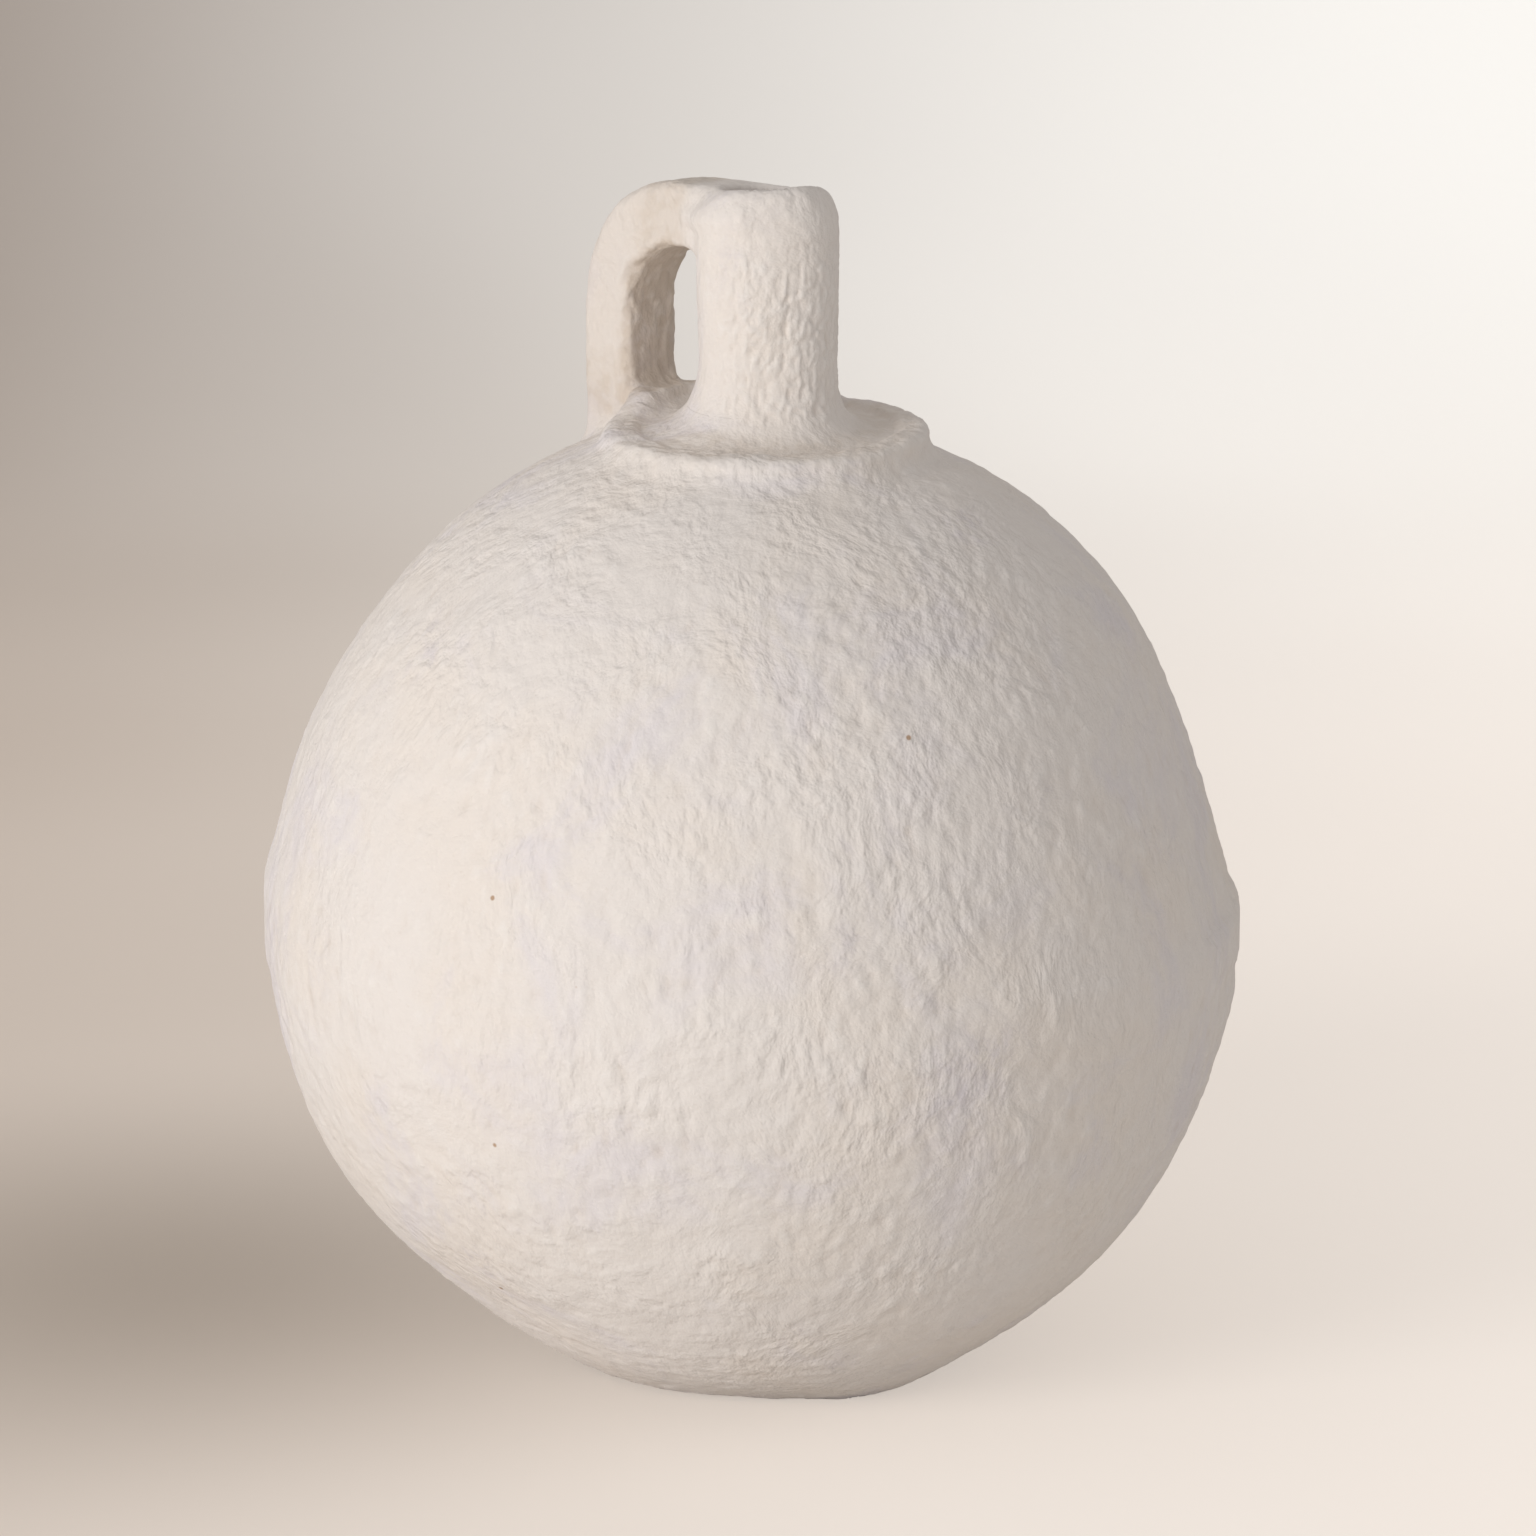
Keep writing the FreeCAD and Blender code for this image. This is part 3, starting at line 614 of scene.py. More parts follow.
# %% Relief of the globe
STROKE_GIRTH = 170
KNOB_RADIUS = 2.6
PIT_RADIUS = 2.2


def globe_relief(points):
    """Broad swellings of the globe, and its small lumps, strokes, knobs and pits."""
    radius, way_round = round_axis(points, 0)
    along = np.arctan2(points[:, 2] - equator, radius) * SHELL_RADIUS / MM
    wander = lumps(points, 38, 3) * 5
    broad = pressed(points) + 0.9 * lumps(points, 105, 1) + 0.55 * lumps(points, 46, 2)
    upright = combed(way_round + wander * MM / SHELL_RADIUS, along, STROKE_GIRTH, 4.4, 9, 5)
    upright += 0.7 * combed(way_round, along + wander, STROKE_GIRTH, 3, 5.5, 6)
    level = combed(way_round, along + wander, STROKE_GIRTH, 15, 3.6, 7)
    near_foot = step(points[:, 2], 93, 31)
    near_disc = step(radius, 120, 84) * (points[:, 2] > equator)
    round_strokes = np.clip(near_foot + near_disc, 0, 1) * 0.75
    strokes = upright * (1 - round_strokes) + level * round_strokes * 0.9
    patch = 0.5 + 0.5 * eased(-0.35, 0.35, lumps(points, 52, 8))
    away, mark = seeds(points, 21, 2)
    knob = np.clip(1 - (away / KNOB_RADIUS) ** 2, 0, 1) * (mark > 0.72)
    pit = np.clip(1 - (away / PIT_RADIUS) ** 2, 0, 1) * (mark < 0.22)
    return broad, 0.62 * strokes * patch + 0.4 * lumps(points, 9, 9) + 0.6 * knob - 0.5 * pit

# %% Relief of the disc, the neck and the handle
ROUGH_WAY = math.radians(-62)


def disc_relief(points):
    """Lumpy rim and skirt of the disc, and brushed rings on its hollow top."""
    radius, way_round = round_axis(points, neck_x)
    rim = step(radius - DISH_RADIUS, -6, 6)
    small = 0.16 * combed(way_round, radius / MM, 55, 12, 2.6, 42)
    small += (0.12 + 0.5 * rim) * lumps(points, 7, 43) + (0.08 + 0.24 * rim) * lumps(points, 3.4, 44)
    return (0.4 + 0.7 * rim) * lumps(points, 19, 41), small


def neck_relief(points):
    """Wrinkled pulp of the neck: rough at the front right, brushed at the left."""
    _, way_round = round_axis(points, neck_x)
    height = points[:, 2]
    high, girth = height / MM, neck_radius / MM
    wander = lumps(points, 14, 21) * 2.4 + lumps(points, 6, 26) * 1.6
    rough = eased(math.radians(105), math.radians(30), np.abs(way_round - ROUGH_WAY)) \
        * step(height - collar_top, 0, 12) * step(height - mouth, -12, -42)
    wrinkle = 0.35 - np.abs(combed(way_round + wander / girth, high + 2 * wander, girth, 2.7, 5, 22))
    fine = combed(way_round, high + wander, girth, 1.9, 4.5, 23)
    broad = (0.15 + 0.5 * step(height - mouth, 0, -16)) * lumps(points, 24, 24)
    small = (0.28 + 0.72 * rough) * wrinkle + (0.2 + 0.4 * rough) * fine
    small += (0.08 + 0.45 * rough) * (0.3 - np.abs(lumps(points, 3.1, 27)))
    return broad, small + (0.2 + 0.25 * rough) * lumps(points, 7, 25)


def handle_relief(points):
    """Streaks along the strap, rougher on its grip side and along its inner edges."""
    outwards, across = along_handle(points)
    past_bend, above_bend, thick = round_bend(points)
    turn = np.arctan2(above_bend, past_bend + TINY)
    along = np.where(past_bend <= 0, -outwards, turn * HANDLE_BEND) \
        + np.where(above_bend <= 0, points[:, 2], 0)
    wander = lumps(points, 16, 31) * 2.5 * MM
    rough = step(thick, 2, -13.5)
    edge = rough * step(np.abs(across) - HANDLE_WIDTH / 2, -5, 0)
    streaks = np.stack([across + wander, thick - wander, along / 4], axis=1)
    small = (0.16 + 0.6 * rough) * lumps(streaks, 3.2, 32)
    small += (0.2 + 0.3 * rough) * lumps(points, 3.6, 33) + 0.3 * lumps(points, 8, 34)
    small += 1.1 * edge * np.clip(lumps(points, 5.5, 36) + 0.1, -0.3, 1)
    return 0.9 * lumps(points, 30, 35), small

# %% Which relief holds where
def relief(points):
    """The whole relief: each part's own, mixed softly where the parts meet."""
    radius, _ = round_axis(points, neck_x)
    outwards, _ = along_handle(points)
    height = points[:, 2]
    strap = step(from_handle(points), 5, 0) * step(outwards - neck_radius, -2, 7) \
        * step(height - collar_top, -4, 8)
    neck = step(from_neck(points), 7, 1) * step(height - dish_floor, 0, 8)
    disc = step(radius - collar_radius, 16, 2) * step(height - seat, -9, 0)
    shares = [((1 - disc) * (1 - strap), globe_relief), (disc * (1 - neck) * (1 - strap), disc_relief),
              (neck * (1 - strap), neck_relief), (strap, handle_relief)]
    broad, small = np.zeros(len(points)), np.zeros(len(points))
    for share, made in shares:
        here = share > 0.001
        part_broad, part_small = made(points[here])
        broad[here] += share[here] * part_broad
        small[here] += share[here] * part_small
    return broad, small


outward = facing(spots)
broad, small = relief(spots)
print(f"relief: broad {broad.min():.2f} to {broad.max():.2f} mm, "
      f"small {small.min():.2f} to {small.max():.2f} mm")

# %% Where brown unpainted pulp shows, with painted shade on the disc's top
RAMP_SHARE, DISC_SHADE_SHARE, STRAP_SHARE = 0.5, 0.4, 0.36


def raw_pulp_and_shade(points):
    """A share from 0 to 1: brown raw pulp inside the handle and on the ramp, painted shade on the
    disc's top, and a darker tone along the whole strap.
    """
    radius, _ = round_axis(points, neck_x)
    outwards, across = along_handle(points)
    from_neck_wall, above_disc = outwards - neck_radius, points[:, 2] - collar_top
    off_strap = from_handle(points)
    grip = step(round_bend(points)[2], -8, -13) * step(off_strap, 16, 4) \
        * step(from_neck_wall, 2, 16) * step(above_disc, 0, 6)
    ramp = eased(RAMP_START, RAMP_TOP, outwards) * step(np.abs(across), 30, 12) \
        * step(above_disc, 30, 10) * step(above_disc, -6, 0)
    # Painted shade on the disc's upward top, mottled by the cloud.
    disc = step(radius - collar_radius, 0, -8) * step(from_neck(points), 6, 12) \
        * (above_disc > -DISH_DEPTH - 3 * MM)
    strap = step(off_strap, 4, 0) * step(from_neck_wall, -4, 10)
    cloud = eased(-0.25, 0.35, lumps(points, 6, 61) + 0.6 * lumps(points, 2.6, 62))
    corners = np.maximum(grip + RAMP_SHARE * ramp, DISC_SHADE_SHARE * disc)
    return np.clip(corners * (0.4 + 0.6 * cloud) + STRAP_SHARE * strap, 0, 1)


masks = {"hollows": small, "raw_pulp_and_shade": raw_pulp_and_shade(spots)}

# %% Moved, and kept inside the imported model's box
ROOM = 0.1 * MM
FLAT_FOOT = 0.5 * MM
spots += outward * ((broad + small) * MM)[:, None]
girth = np.hypot(spots[:, 0], spots[:, 1])
spots[:, :2] *= np.minimum(1, (band_radius - ROOM) / np.maximum(girth, TINY))[:, None]
spots[:, 2] = np.clip(spots[:, 2], 0, mouth - ROOM)
spots[spots[:, 2] < FLAT_FOOT, 2] = 0
put_back(skin.data, spots)
for mask, values in masks.items():
    layer = skin.data.attributes.new(mask, "FLOAT", "POINT")
    layer.data.foreach_set("value", values.astype(np.float32))

# %% [markdown]
# ## Cutting the skin into the maker's pieces
#
# A maker presses two halves, lays a strip over the seam, lets in the disc and works on the
# neck and the strap. So the one closed form is cut along those joints, and hollowed as the
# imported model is: each piece is what the form shares with a plain zone. The lumps then
# run across the joints, which they would not do on pieces modelled one by one.

# %% Cutting with a zone
def carve(piece, operation, *zones):
    """Booleans of the piece with zones, one after the other. The zones stay."""
    for zone in zones:
        cut = piece.modifiers.new("cut", "BOOLEAN")
        cut.operation = operation
        cut.solver = "MANIFOLD"
        cut.object = zone
        finished_mesh(piece)
    return piece


def zone_of(line, across=0.0):
    """A turned zone, its line given in metres as (radius, height)."""
    return as_object(turned(line, across, steps=128), "zone")


def rod(radius, bottom, top, across=neck_x, back=0):
    """An upright round zone, which stands on the neck's axis unless told otherwise."""
    form = bmesh.new()
    middle = Matrix.Translation((across, back, (bottom + top) / 2))
    bmesh.ops.create_cone(form, cap_ends=True, segments=64, radius1=radius, radius2=radius,
                          depth=top - bottom, matrix=middle)
    return as_object(form, "zone")

# %% Zones of the globe
BEYOND = 30 * MM
RECESS_RADIUS = disc_high.x + FIT_GAP
RECESS_DEPTH = disc_high.z
LAP_HEIGHT = 12 * MM
JOINT_HEIGHT = 404 * MM
shell_bore = SHELL_RADIUS - SHELL_WALL
band_seat = SHELL_RADIUS - BAND_SEAT_DEPTH
lap_radius = (shell_bore + band_seat) / 2
lap_top = equator + LAP_HEIGHT
socket_radius, socket_top = lap_radius + FIT_GAP, lap_top + FIT_GAP
inner_flank, inner_shoulder = FLANK_RADIUS - SHELL_WALL, SHOULDER_RADIUS - SHELL_WALL
out = SHELL_RADIUS + BEYOND


def turn_at(height, centre, radius):
    """The angle in degrees at which an arc reaches a height."""
    return math.degrees(math.asin((height - centre) / radius))


lower_zone = zone_of(
    [(0, RECESS_DEPTH), (RECESS_RADIUS, RECESS_DEPTH), (RECESS_RADIUS, -BEYOND), (out, -BEYOND),
     (out, band_bottom), (band_seat, band_bottom), (band_seat, equator), (lap_radius, equator),
     (lap_radius, lap_top), (shell_bore, lap_top)]
    + arc((0, equator), shell_bore, 0, turn_at(FLOOR_THICKNESS, equator, shell_bore), 24)
    + [(0, FLOOR_THICKNESS)])
turn_over = math.degrees(SHOULDER_TURN)
upper_zone = zone_of(
    [(0, seat_underside)]
    + arc((shoulder_x, shoulder_z), inner_shoulder,
          turn_at(seat_underside, shoulder_z, inner_shoulder), turn_over, 14)
    + arc((flank_x, flank_z), inner_flank, turn_over, turn_at(socket_top, flank_z, inner_flank), 6)[1:]
    + [(socket_radius, socket_top), (socket_radius, equator), (band_seat, equator),
       (band_seat, band_top), (out, band_top), (out, JOINT_HEIGHT - FIT_GAP),
       (0, JOINT_HEIGHT - FIT_GAP)])
band_zone = zone_of([(band_seat, band_bottom), (out, band_bottom), (out, band_top),
                     (band_seat, band_top), (band_seat, band_bottom)])


def follow_pressing(zone):
    """Moves a zone's inner wall inwards wherever the globe is pressed in."""
    spots = places(zone.data)
    radius, height = np.hypot(spots[:, 0], spots[:, 1]), spots[:, 2]
    inner = (radius < shell_bore + TINY) & (radius > 2 * CROWN_RADIUS) \
        & (height > FLOOR_THICKNESS + TINY) & (height < JOINT_HEIGHT - 2 * FIT_GAP)
    way = spots[inner] - (0, 0, equator)
    way /= np.linalg.norm(way, axis=1, keepdims=True)
    spots[inner] += way * np.minimum(pressed(spots[inner]) * MM, 0)[:, None]
    put_back(zone.data, spots)
    print(f"{inner.sum()} vertices of the inner wall follow the pressing")


for zone in (lower_zone, upper_zone):
    follow_pressing(zone)

# %% Zones of the disc and the neck
SKIRT_DEPTH = 3 * MM
SKIRT_RADIUS = 78 * MM
SKIRT_TURNS = (25, 88, 40)
ROOT_RADIUS = 44 * MM
ROOT_TOP = dish_floor + 13.2 * MM
CORE_BOTTOM = 200 * MM
TUBE_SEAT = tube_radius + FIT_GAP
ABOVE = mouth + BEYOND

core_arc = arc((shoulder_x, shoulder_z), SHOULDER_RADIUS - SKIRT_DEPTH, *SKIRT_TURNS)
globe_core = zone_of([(0, CORE_BOTTOM), (core_arc[0][0], CORE_BOTTOM)] + core_arc
                     + [(0, core_arc[-1][1])])
collar_zone = carve(rod(SKIRT_RADIUS, seat - BEYOND, JOINT_HEIGHT), "DIFFERENCE", globe_core)
seat_zone = rod(collar_radius + FIT_GAP, seat, JOINT_HEIGHT)
plug_zone = rod(SPIGOT_RADIUS, seat_underside, JOINT_HEIGHT)
carve(collar_zone, "UNION", seat_zone, plug_zone)
root_zone = rod(ROOT_RADIUS, dish_floor - SKIRT_DEPTH, ROOT_TOP)
neck_foot = rod(neck_radius, dish_floor, ROOT_TOP)
neck_zone = zone_of([(0, dish_floor), (neck_radius, dish_floor), (neck_radius, ROOT_TOP),
                     (ROOT_RADIUS, ROOT_TOP), (ROOT_RADIUS, ABOVE), (0, ABOVE)], neck_x)
tube_hole = rod(TUBE_SEAT, seat_underside - BEYOND, tube_high.z + FIT_GAP)

# %% Zones of the handle
LEG_SHRINK = 3 * MM
LEG_INNER = 58 * MM
HEAD_CUT = 22 * MM
FOOT_ZONE_RADIUS = 34 * MM
FOOT_INNER = 62 * MM
CORE_HOLE = 6.2 * MM
half_thick = HANDLE_THICKNESS / 2 - LEG_SHRINK
leg_bottom = seat - 2 * BEYOND


def core_rod():
    """The hole for the rolled paper: a circle drawn along the handle."""
    form = bmesh.new()
    bmesh.ops.create_circle(form, cap_ends=True, radius=CORE_HOLE, segments=24)
    return as_object(drawn_along_handle(form, TUBE_SEAT - 1 * MM, seat_underside - BEYOND), "zone")


def block_zone(*reach):
    """A zone that is a block along the handle."""
    return as_object(block(*reach), "zone")


core_hole = core_rod()
past_handle = handle_reach + BEYOND
leg_rod = carve(block_zone(handle_reach - half_thick, handle_reach + half_thick,
                           HANDLE_WIDTH / 2 - LEG_SHRINK, leg_bottom, handle_height),
                "DIFFERENCE", globe_core)
leg_zone = carve(block_zone(LEG_INNER, past_handle, BEYOND, JOINT_HEIGHT, handle_height),
                 "UNION", leg_rod)
handle_zone = carve(block_zone(HEAD_CUT, past_handle, BEYOND, handle_height - BEYOND, ABOVE),
                    "UNION", leg_zone)
foot_clear = rod(FOOT_INNER, leg_bottom, ABOVE)
foot_zone = carve(rod(FOOT_ZONE_RADIUS, leg_bottom, JOINT_HEIGHT,
                      neck_x + handle_reach * math.cos(HANDLE_TURN),
                      handle_reach * math.sin(HANDLE_TURN)), "DIFFERENCE", globe_core, foot_clear)

# %% The pieces
# Each one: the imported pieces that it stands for, the zone it keeps, and what is cut away.
PIECES = {
    "lower_shell_pulp": (["lower_shell"], lower_zone),
    "seam_band_pulp": (["seam_band"], band_zone),
    "upper_shell_pulp": (["upper_shell"], upper_zone, collar_zone, foot_zone, leg_zone,
                         handle_zone, plug_zone, core_hole),
    "shoulder_collar_pulp": (["shoulder_collar"], collar_zone, root_zone, neck_zone, foot_zone,
                             handle_zone, tube_hole),
    "neck_root_pulp": (["neck_root"], root_zone, neck_foot),
    "neck_pulp": (["neck"], neck_zone, handle_zone, tube_hole, core_hole),
    "handle_pulp": (["handle", "handle_head"], handle_zone, core_hole),
    "handle_foot_pulp": (["handle_foot"], foot_zone, handle_zone, core_hole),
}
pulp_pieces = {}
for name, (stands_for, keep, *away) in PIECES.items():
    piece = carve(linked(name, skin.data.copy()), "INTERSECT", keep)
    pulp_pieces[carve(piece, "DIFFERENCE", *away)] = stands_for
    print(f"{name}: {len(piece.data.polygons)} faces")

# %% Soft shading inside each piece, crisp edges where it was cut
CRISP = math.radians(62)


def shade(piece):
    """Smooth faces, with edges sharper than a lump ever is left crisp."""
    form = bmesh.new()
    form.from_mesh(piece.data)
    for face in form.faces:
        face.smooth = True
    for edge in form.edges:
        edge.smooth = len(edge.link_faces) == 2 and edge.calc_face_angle(0) < CRISP
    open_edges = sum(len(edge.link_faces) != 2 for edge in form.edges)
    form.to_mesh(piece.data)
    form.free()
    piece.data.update()
    triangles = sum(len(face.vertices) - 2 for face in piece.data.polygons)
    print(f"{piece.name}: {triangles} triangles, {open_edges} open edges")

# %% [markdown]
# Two pieces that meet in a cut would each round their shading off at it, and a faint line
# would show. So along the cuts the outside faces take their facing from the uncut skin,
# as a joint does that is smoothed with a wet thumb.

# %% Shading carried across the joints
SAME_WAY = 0.5
NEAR_SKIN = 0.5 * MM


def shade_across_joints(piece, whole, finder):
    """Gives the corners beside crisp edges the uncut skin's own facing and masks."""
    mesh = piece.data
    outside = {}
    for number in {vertex for edge in mesh.edges if edge.use_edge_sharp for vertex in edge.vertices}:
        near, _, face, gap = finder.find_nearest(mesh.vertices[number].co)
        if face is None or gap >= NEAR_SKIN:
            continue
        corners = [whole.vertices[i] for i in whole.polygons[face].vertices]
        shares = [1 / max((corner.co - near).length, TINY) for corner in corners]
        outside[number] = sum((corner.normal * share for corner, share in zip(corners, shares)),
                              Vector()).normalized()
        for mask in masks:
            theirs = whole.attributes[mask].data
            total = sum(theirs[corner.index].value * share for corner, share in zip(corners, shares))
            mesh.attributes[mask].data[number].value = total / sum(shares)
    facings = np.zeros((len(mesh.loops), 3))
    for face in mesh.polygons:
        for loop in face.loop_indices:
            way = outside.get(mesh.loops[loop].vertex_index)
            if way is not None and face.normal.dot(way) > SAME_WAY:
                facings[loop] = way
    mesh.normals_split_custom_set(facings.tolist())


finder = BVHTree.FromPolygons([vertex.co for vertex in skin.data.vertices],
                              [tuple(face.vertices) for face in skin.data.polygons])
for piece in pulp_pieces:
    shade(piece)
    shade_across_joints(piece, skin.data, finder)
    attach(piece, "root")
    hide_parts(*pulp_pieces[piece])

# %% Helpers cleared away
helpers = {zone for _, *zones in PIECES.values() for zone in zones}
for helper in helpers | {skin, globe_core, seat_zone, leg_rod, foot_clear}:
    mesh = helper.data
    bpy.data.objects.remove(helper)
    bpy.data.meshes.remove(mesh)

# %% [markdown]
# ## Paper pulp
#
# Torn paper soaked to pulp dries chalky and matt. Its colour is never even: cream where
# the size in it has yellowed, faintly lilac where printed paper went in, with single
# flecks of brown card and fine dust. Painted shade darkens the hollows of the relief and
# a painted highlight lightens its crests. Each is a mask from noise on Object coordinates,
# which stay the same from piece to piece, or from the relief kept on each vertex, so that
# no joint shows in the colour.

# %% Making nodes and node groups
def new_group(name, *heights, **sizes):
    """A shader node group with a place, sizes as its inputs, and numbers as its outputs."""
    group = bpy.data.node_groups.new(name, "ShaderNodeTree")
    group.interface.new_socket("Place", in_out="INPUT", socket_type="NodeSocketVector")
    for label, size in sizes.items():
        socket = group.interface.new_socket(label, in_out="INPUT", socket_type="NodeSocketFloat")
        socket.default_value = size
    for label in heights:
        group.interface.new_socket(label, in_out="OUTPUT", socket_type="NodeSocketFloat")
    return group, group.nodes.new("NodeGroupInput").outputs, group.nodes.new("NodeGroupOutput").inputs


def add(tree, kind, inputs=None, **settings):
    """A node with its properties, and its inputs by name or number, set in one go."""
    node = tree.nodes.new(kind)
    for key, value in settings.items():
        setattr(node, key, value)
    for key, value in (inputs or {}).items():
        if isinstance(value, bpy.types.NodeSocket):
            tree.links.new(value, node.inputs[key])
        else:
            node.inputs[key].default_value = value
    return node


def reckon(tree, how, first, second):
    """One sum or product."""
    return add(tree, "ShaderNodeMath", {0: first, 1: second}, operation=how).outputs[0]


def times(tree, first, second):
    """A product."""
    return reckon(tree, "MULTIPLY", first, second)


def moved_by(tree, how, place, way):
    """A place changed by another: their sum, or how far they are apart."""
    return add(tree, "ShaderNodeVectorMath", {0: place, 1: way}, operation=how).outputs


def spread(tree, value, low, high):
    """A soft mask: 0 where the value is below low, 1 above high."""
    return add(tree, "ShaderNodeMapRange", {"Value": value, "From Min": low, "From Max": high},
               interpolation_type="SMOOTHSTEP").outputs["Result"]


def noise_of(tree, place, scale, detail=3.0, roughness=0.55, distortion=0.0):
    """Noise between 0 and 1 at a scale of lumps to the metre."""
    return add(tree, "ShaderNodeTexNoise", {
        "Vector": place, "Scale": scale, "Detail": detail, "Roughness": roughness,
        "Distortion": distortion}).outputs["Fac"]


def dots_of(tree, place, scale):
    """Seeds at a scale of seeds to the metre: how far the nearest is, and its colour."""
    return add(tree, "ShaderNodeTexVoronoi", {"Vector": place, "Scale": scale}, feature="F1").outputs


def blend_colour(tree, share, first, second):
    """Two colours mixed by a share. A colour's sockets are 6 and 7 of this node, and 2."""
    return add(tree, "ShaderNodeMix", {0: share, 6: first, 7: second}, data_type="RGBA").outputs[2]

# %% Patches: cream and lilac clouds, stains and flecks
def make_patches():
    """Masks over the surface: cream clouds, lilac clouds, lilac stains, brown flecks."""
    group, start, end = new_group("pulp_patches", "Cream", "Lilac", "Stain", "Fleck", "Grime")
    place = start["Place"]
    shifted = moved_by(group, "ADD", place, (3.1, 1.7, 0.4))[0]
    further = moved_by(group, "ADD", place, (-2.3, 4.9, 1.9))[0]
    dots = dots_of(group, shifted, 62)
    rare = add(group, "ShaderNodeSeparateColor", {0: dots["Color"]}).outputs[0]
    made = {
        "Cream": spread(group, noise_of(group, place, 13, 5, 0.62, 0.4), 0.42, 0.66),
        "Lilac": spread(group, noise_of(group, shifted, 15, 5, 0.62, 0.6), 0.5, 0.7),
        "Stain": times(group, spread(group, noise_of(group, further, 13, 2, 0.5), 0.58, 0.74),
                       spread(group, noise_of(group, further, 130, 4, 0.65), 0.4, 0.75)),
        "Fleck": times(group, spread(group, dots["Distance"], 0.085, 0.04),
                       reckon(group, "GREATER_THAN", rare, 0.955)),
        "Grime": spread(group, noise_of(group, further, 420, 2, 0.6), 0.62, 0.78),
    }
    for label, value in made.items():
        group.links.new(value, end[label])
    return group


patches = make_patches()

# %% Grain: fibres and pores too fine to model
def make_grain():
    """A height for the Bump node: felted fibres at Size to the metre, with small pores."""
    group, start, end = new_group("paper_grain", "Height", Size=500.0)
    place, size = start["Place"], start["Size"]
    fibres = noise_of(group, place, size, 4, 0.62, 1.2)
    soft = noise_of(group, place, times(group, size, 0.32), 3, 0.55, 0.3)
    pore = spread(group, dots_of(group, place, size)["Distance"], 0.0, 0.5)
    height = reckon(group, "ADD", times(group, fibres, 0.5), times(group, soft, 0.9))
    group.links.new(reckon(group, "ADD", height, times(group, pore, 0.12)), end["Height"])
    return group


grain = make_grain()

# %% Strokes: short upright ridges left by a stiff brush
WANDER = (0.02, 0.02, 0.02)


def make_strokes():
    """A height of short ridges that stand upright, broken by softer lumps."""
    group, start, end = new_group("brush_strokes", "Height")
    place = start["Place"]
    wander = add(group, "ShaderNodeTexNoise", {"Vector": place, "Scale": 22.0, "Detail": 1.0})
    pushed = add(group, "ShaderNodeVectorMath", {0: wander.outputs["Color"], 1: WANDER, 2: place},
                 operation="MULTIPLY_ADD").outputs[0]
    tall = add(group, "ShaderNodeMapping", {"Vector": pushed, "Scale": (1.0, 1.0, 0.55)}).outputs[0]
    patchy = spread(group, noise_of(group, place, 24, 1, 0.5), 0.32, 0.62)
    ridges = times(group, noise_of(group, tall, 205, 2, 0.45), patchy)
    lumpy = times(group, noise_of(group, pushed, 120, 3, 0.55), 0.8)
    group.links.new(reckon(group, "ADD", ridges, lumpy), end["Height"])
    return group


strokes = make_strokes()

# %% The three finishes
PULP_WHITE = (0.795, 0.735, 0.69, 1)
PULP_CREAM = (0.80, 0.725, 0.66, 1)
PULP_LILAC = (0.735, 0.685, 0.70, 1)
PULP_STAIN = (0.60, 0.55, 0.59, 1)
# The raw pulp brown also paints shade on the disc's top.
PULP_RAW_AND_SHADE = (0.56, 0.455, 0.35, 1)
# Dust colour, also used as painted shade in the hollows of the relief.
PULP_DUST_AND_SHADE = (0.62, 0.53, 0.455, 1)
# Crest colour: a painted highlight on the crests of the relief.
PULP_CREST_HIGHLIGHT = (0.835, 0.785, 0.745, 1)
CARD_FLECK = (0.42, 0.26, 0.15, 1)
CARD_BROWN = (0.47, 0.36, 0.25, 1)
CARD_DARK = (0.36, 0.27, 0.18, 1)
NEWS_GREY = (0.62, 0.58, 0.52, 1)
NEWS_DARK = (0.42, 0.40, 0.37, 1)


def new_material(name, roughness):
    """A material with its nodes, and its object coordinates."""
    material = bpy.data.materials.new(name)
    material.use_nodes = True
    tree = material.node_tree
    shader = tree.nodes["Principled BSDF"]
    shader.inputs["Roughness"].default_value = roughness
    shader.inputs["Specular IOR Level"].default_value = 0.25
    return material, tree, shader, add(tree, "ShaderNodeTexCoord").outputs["Object"]


def group_of(tree, group, **inputs):
    """A group placed in a material, and its outputs."""
    return add(tree, "ShaderNodeGroup", inputs, node_tree=group).outputs


def finish(tree, shader, colour, height, strength, distance):
    """Ties a colour and a height to the shader."""
    bump = add(tree, "ShaderNodeBump", {"Height": height, "Strength": strength, "Distance": distance})
    tree.links.new(colour, shader.inputs["Base Color"])
    tree.links.new(bump.outputs["Normal"], shader.inputs["Normal"])


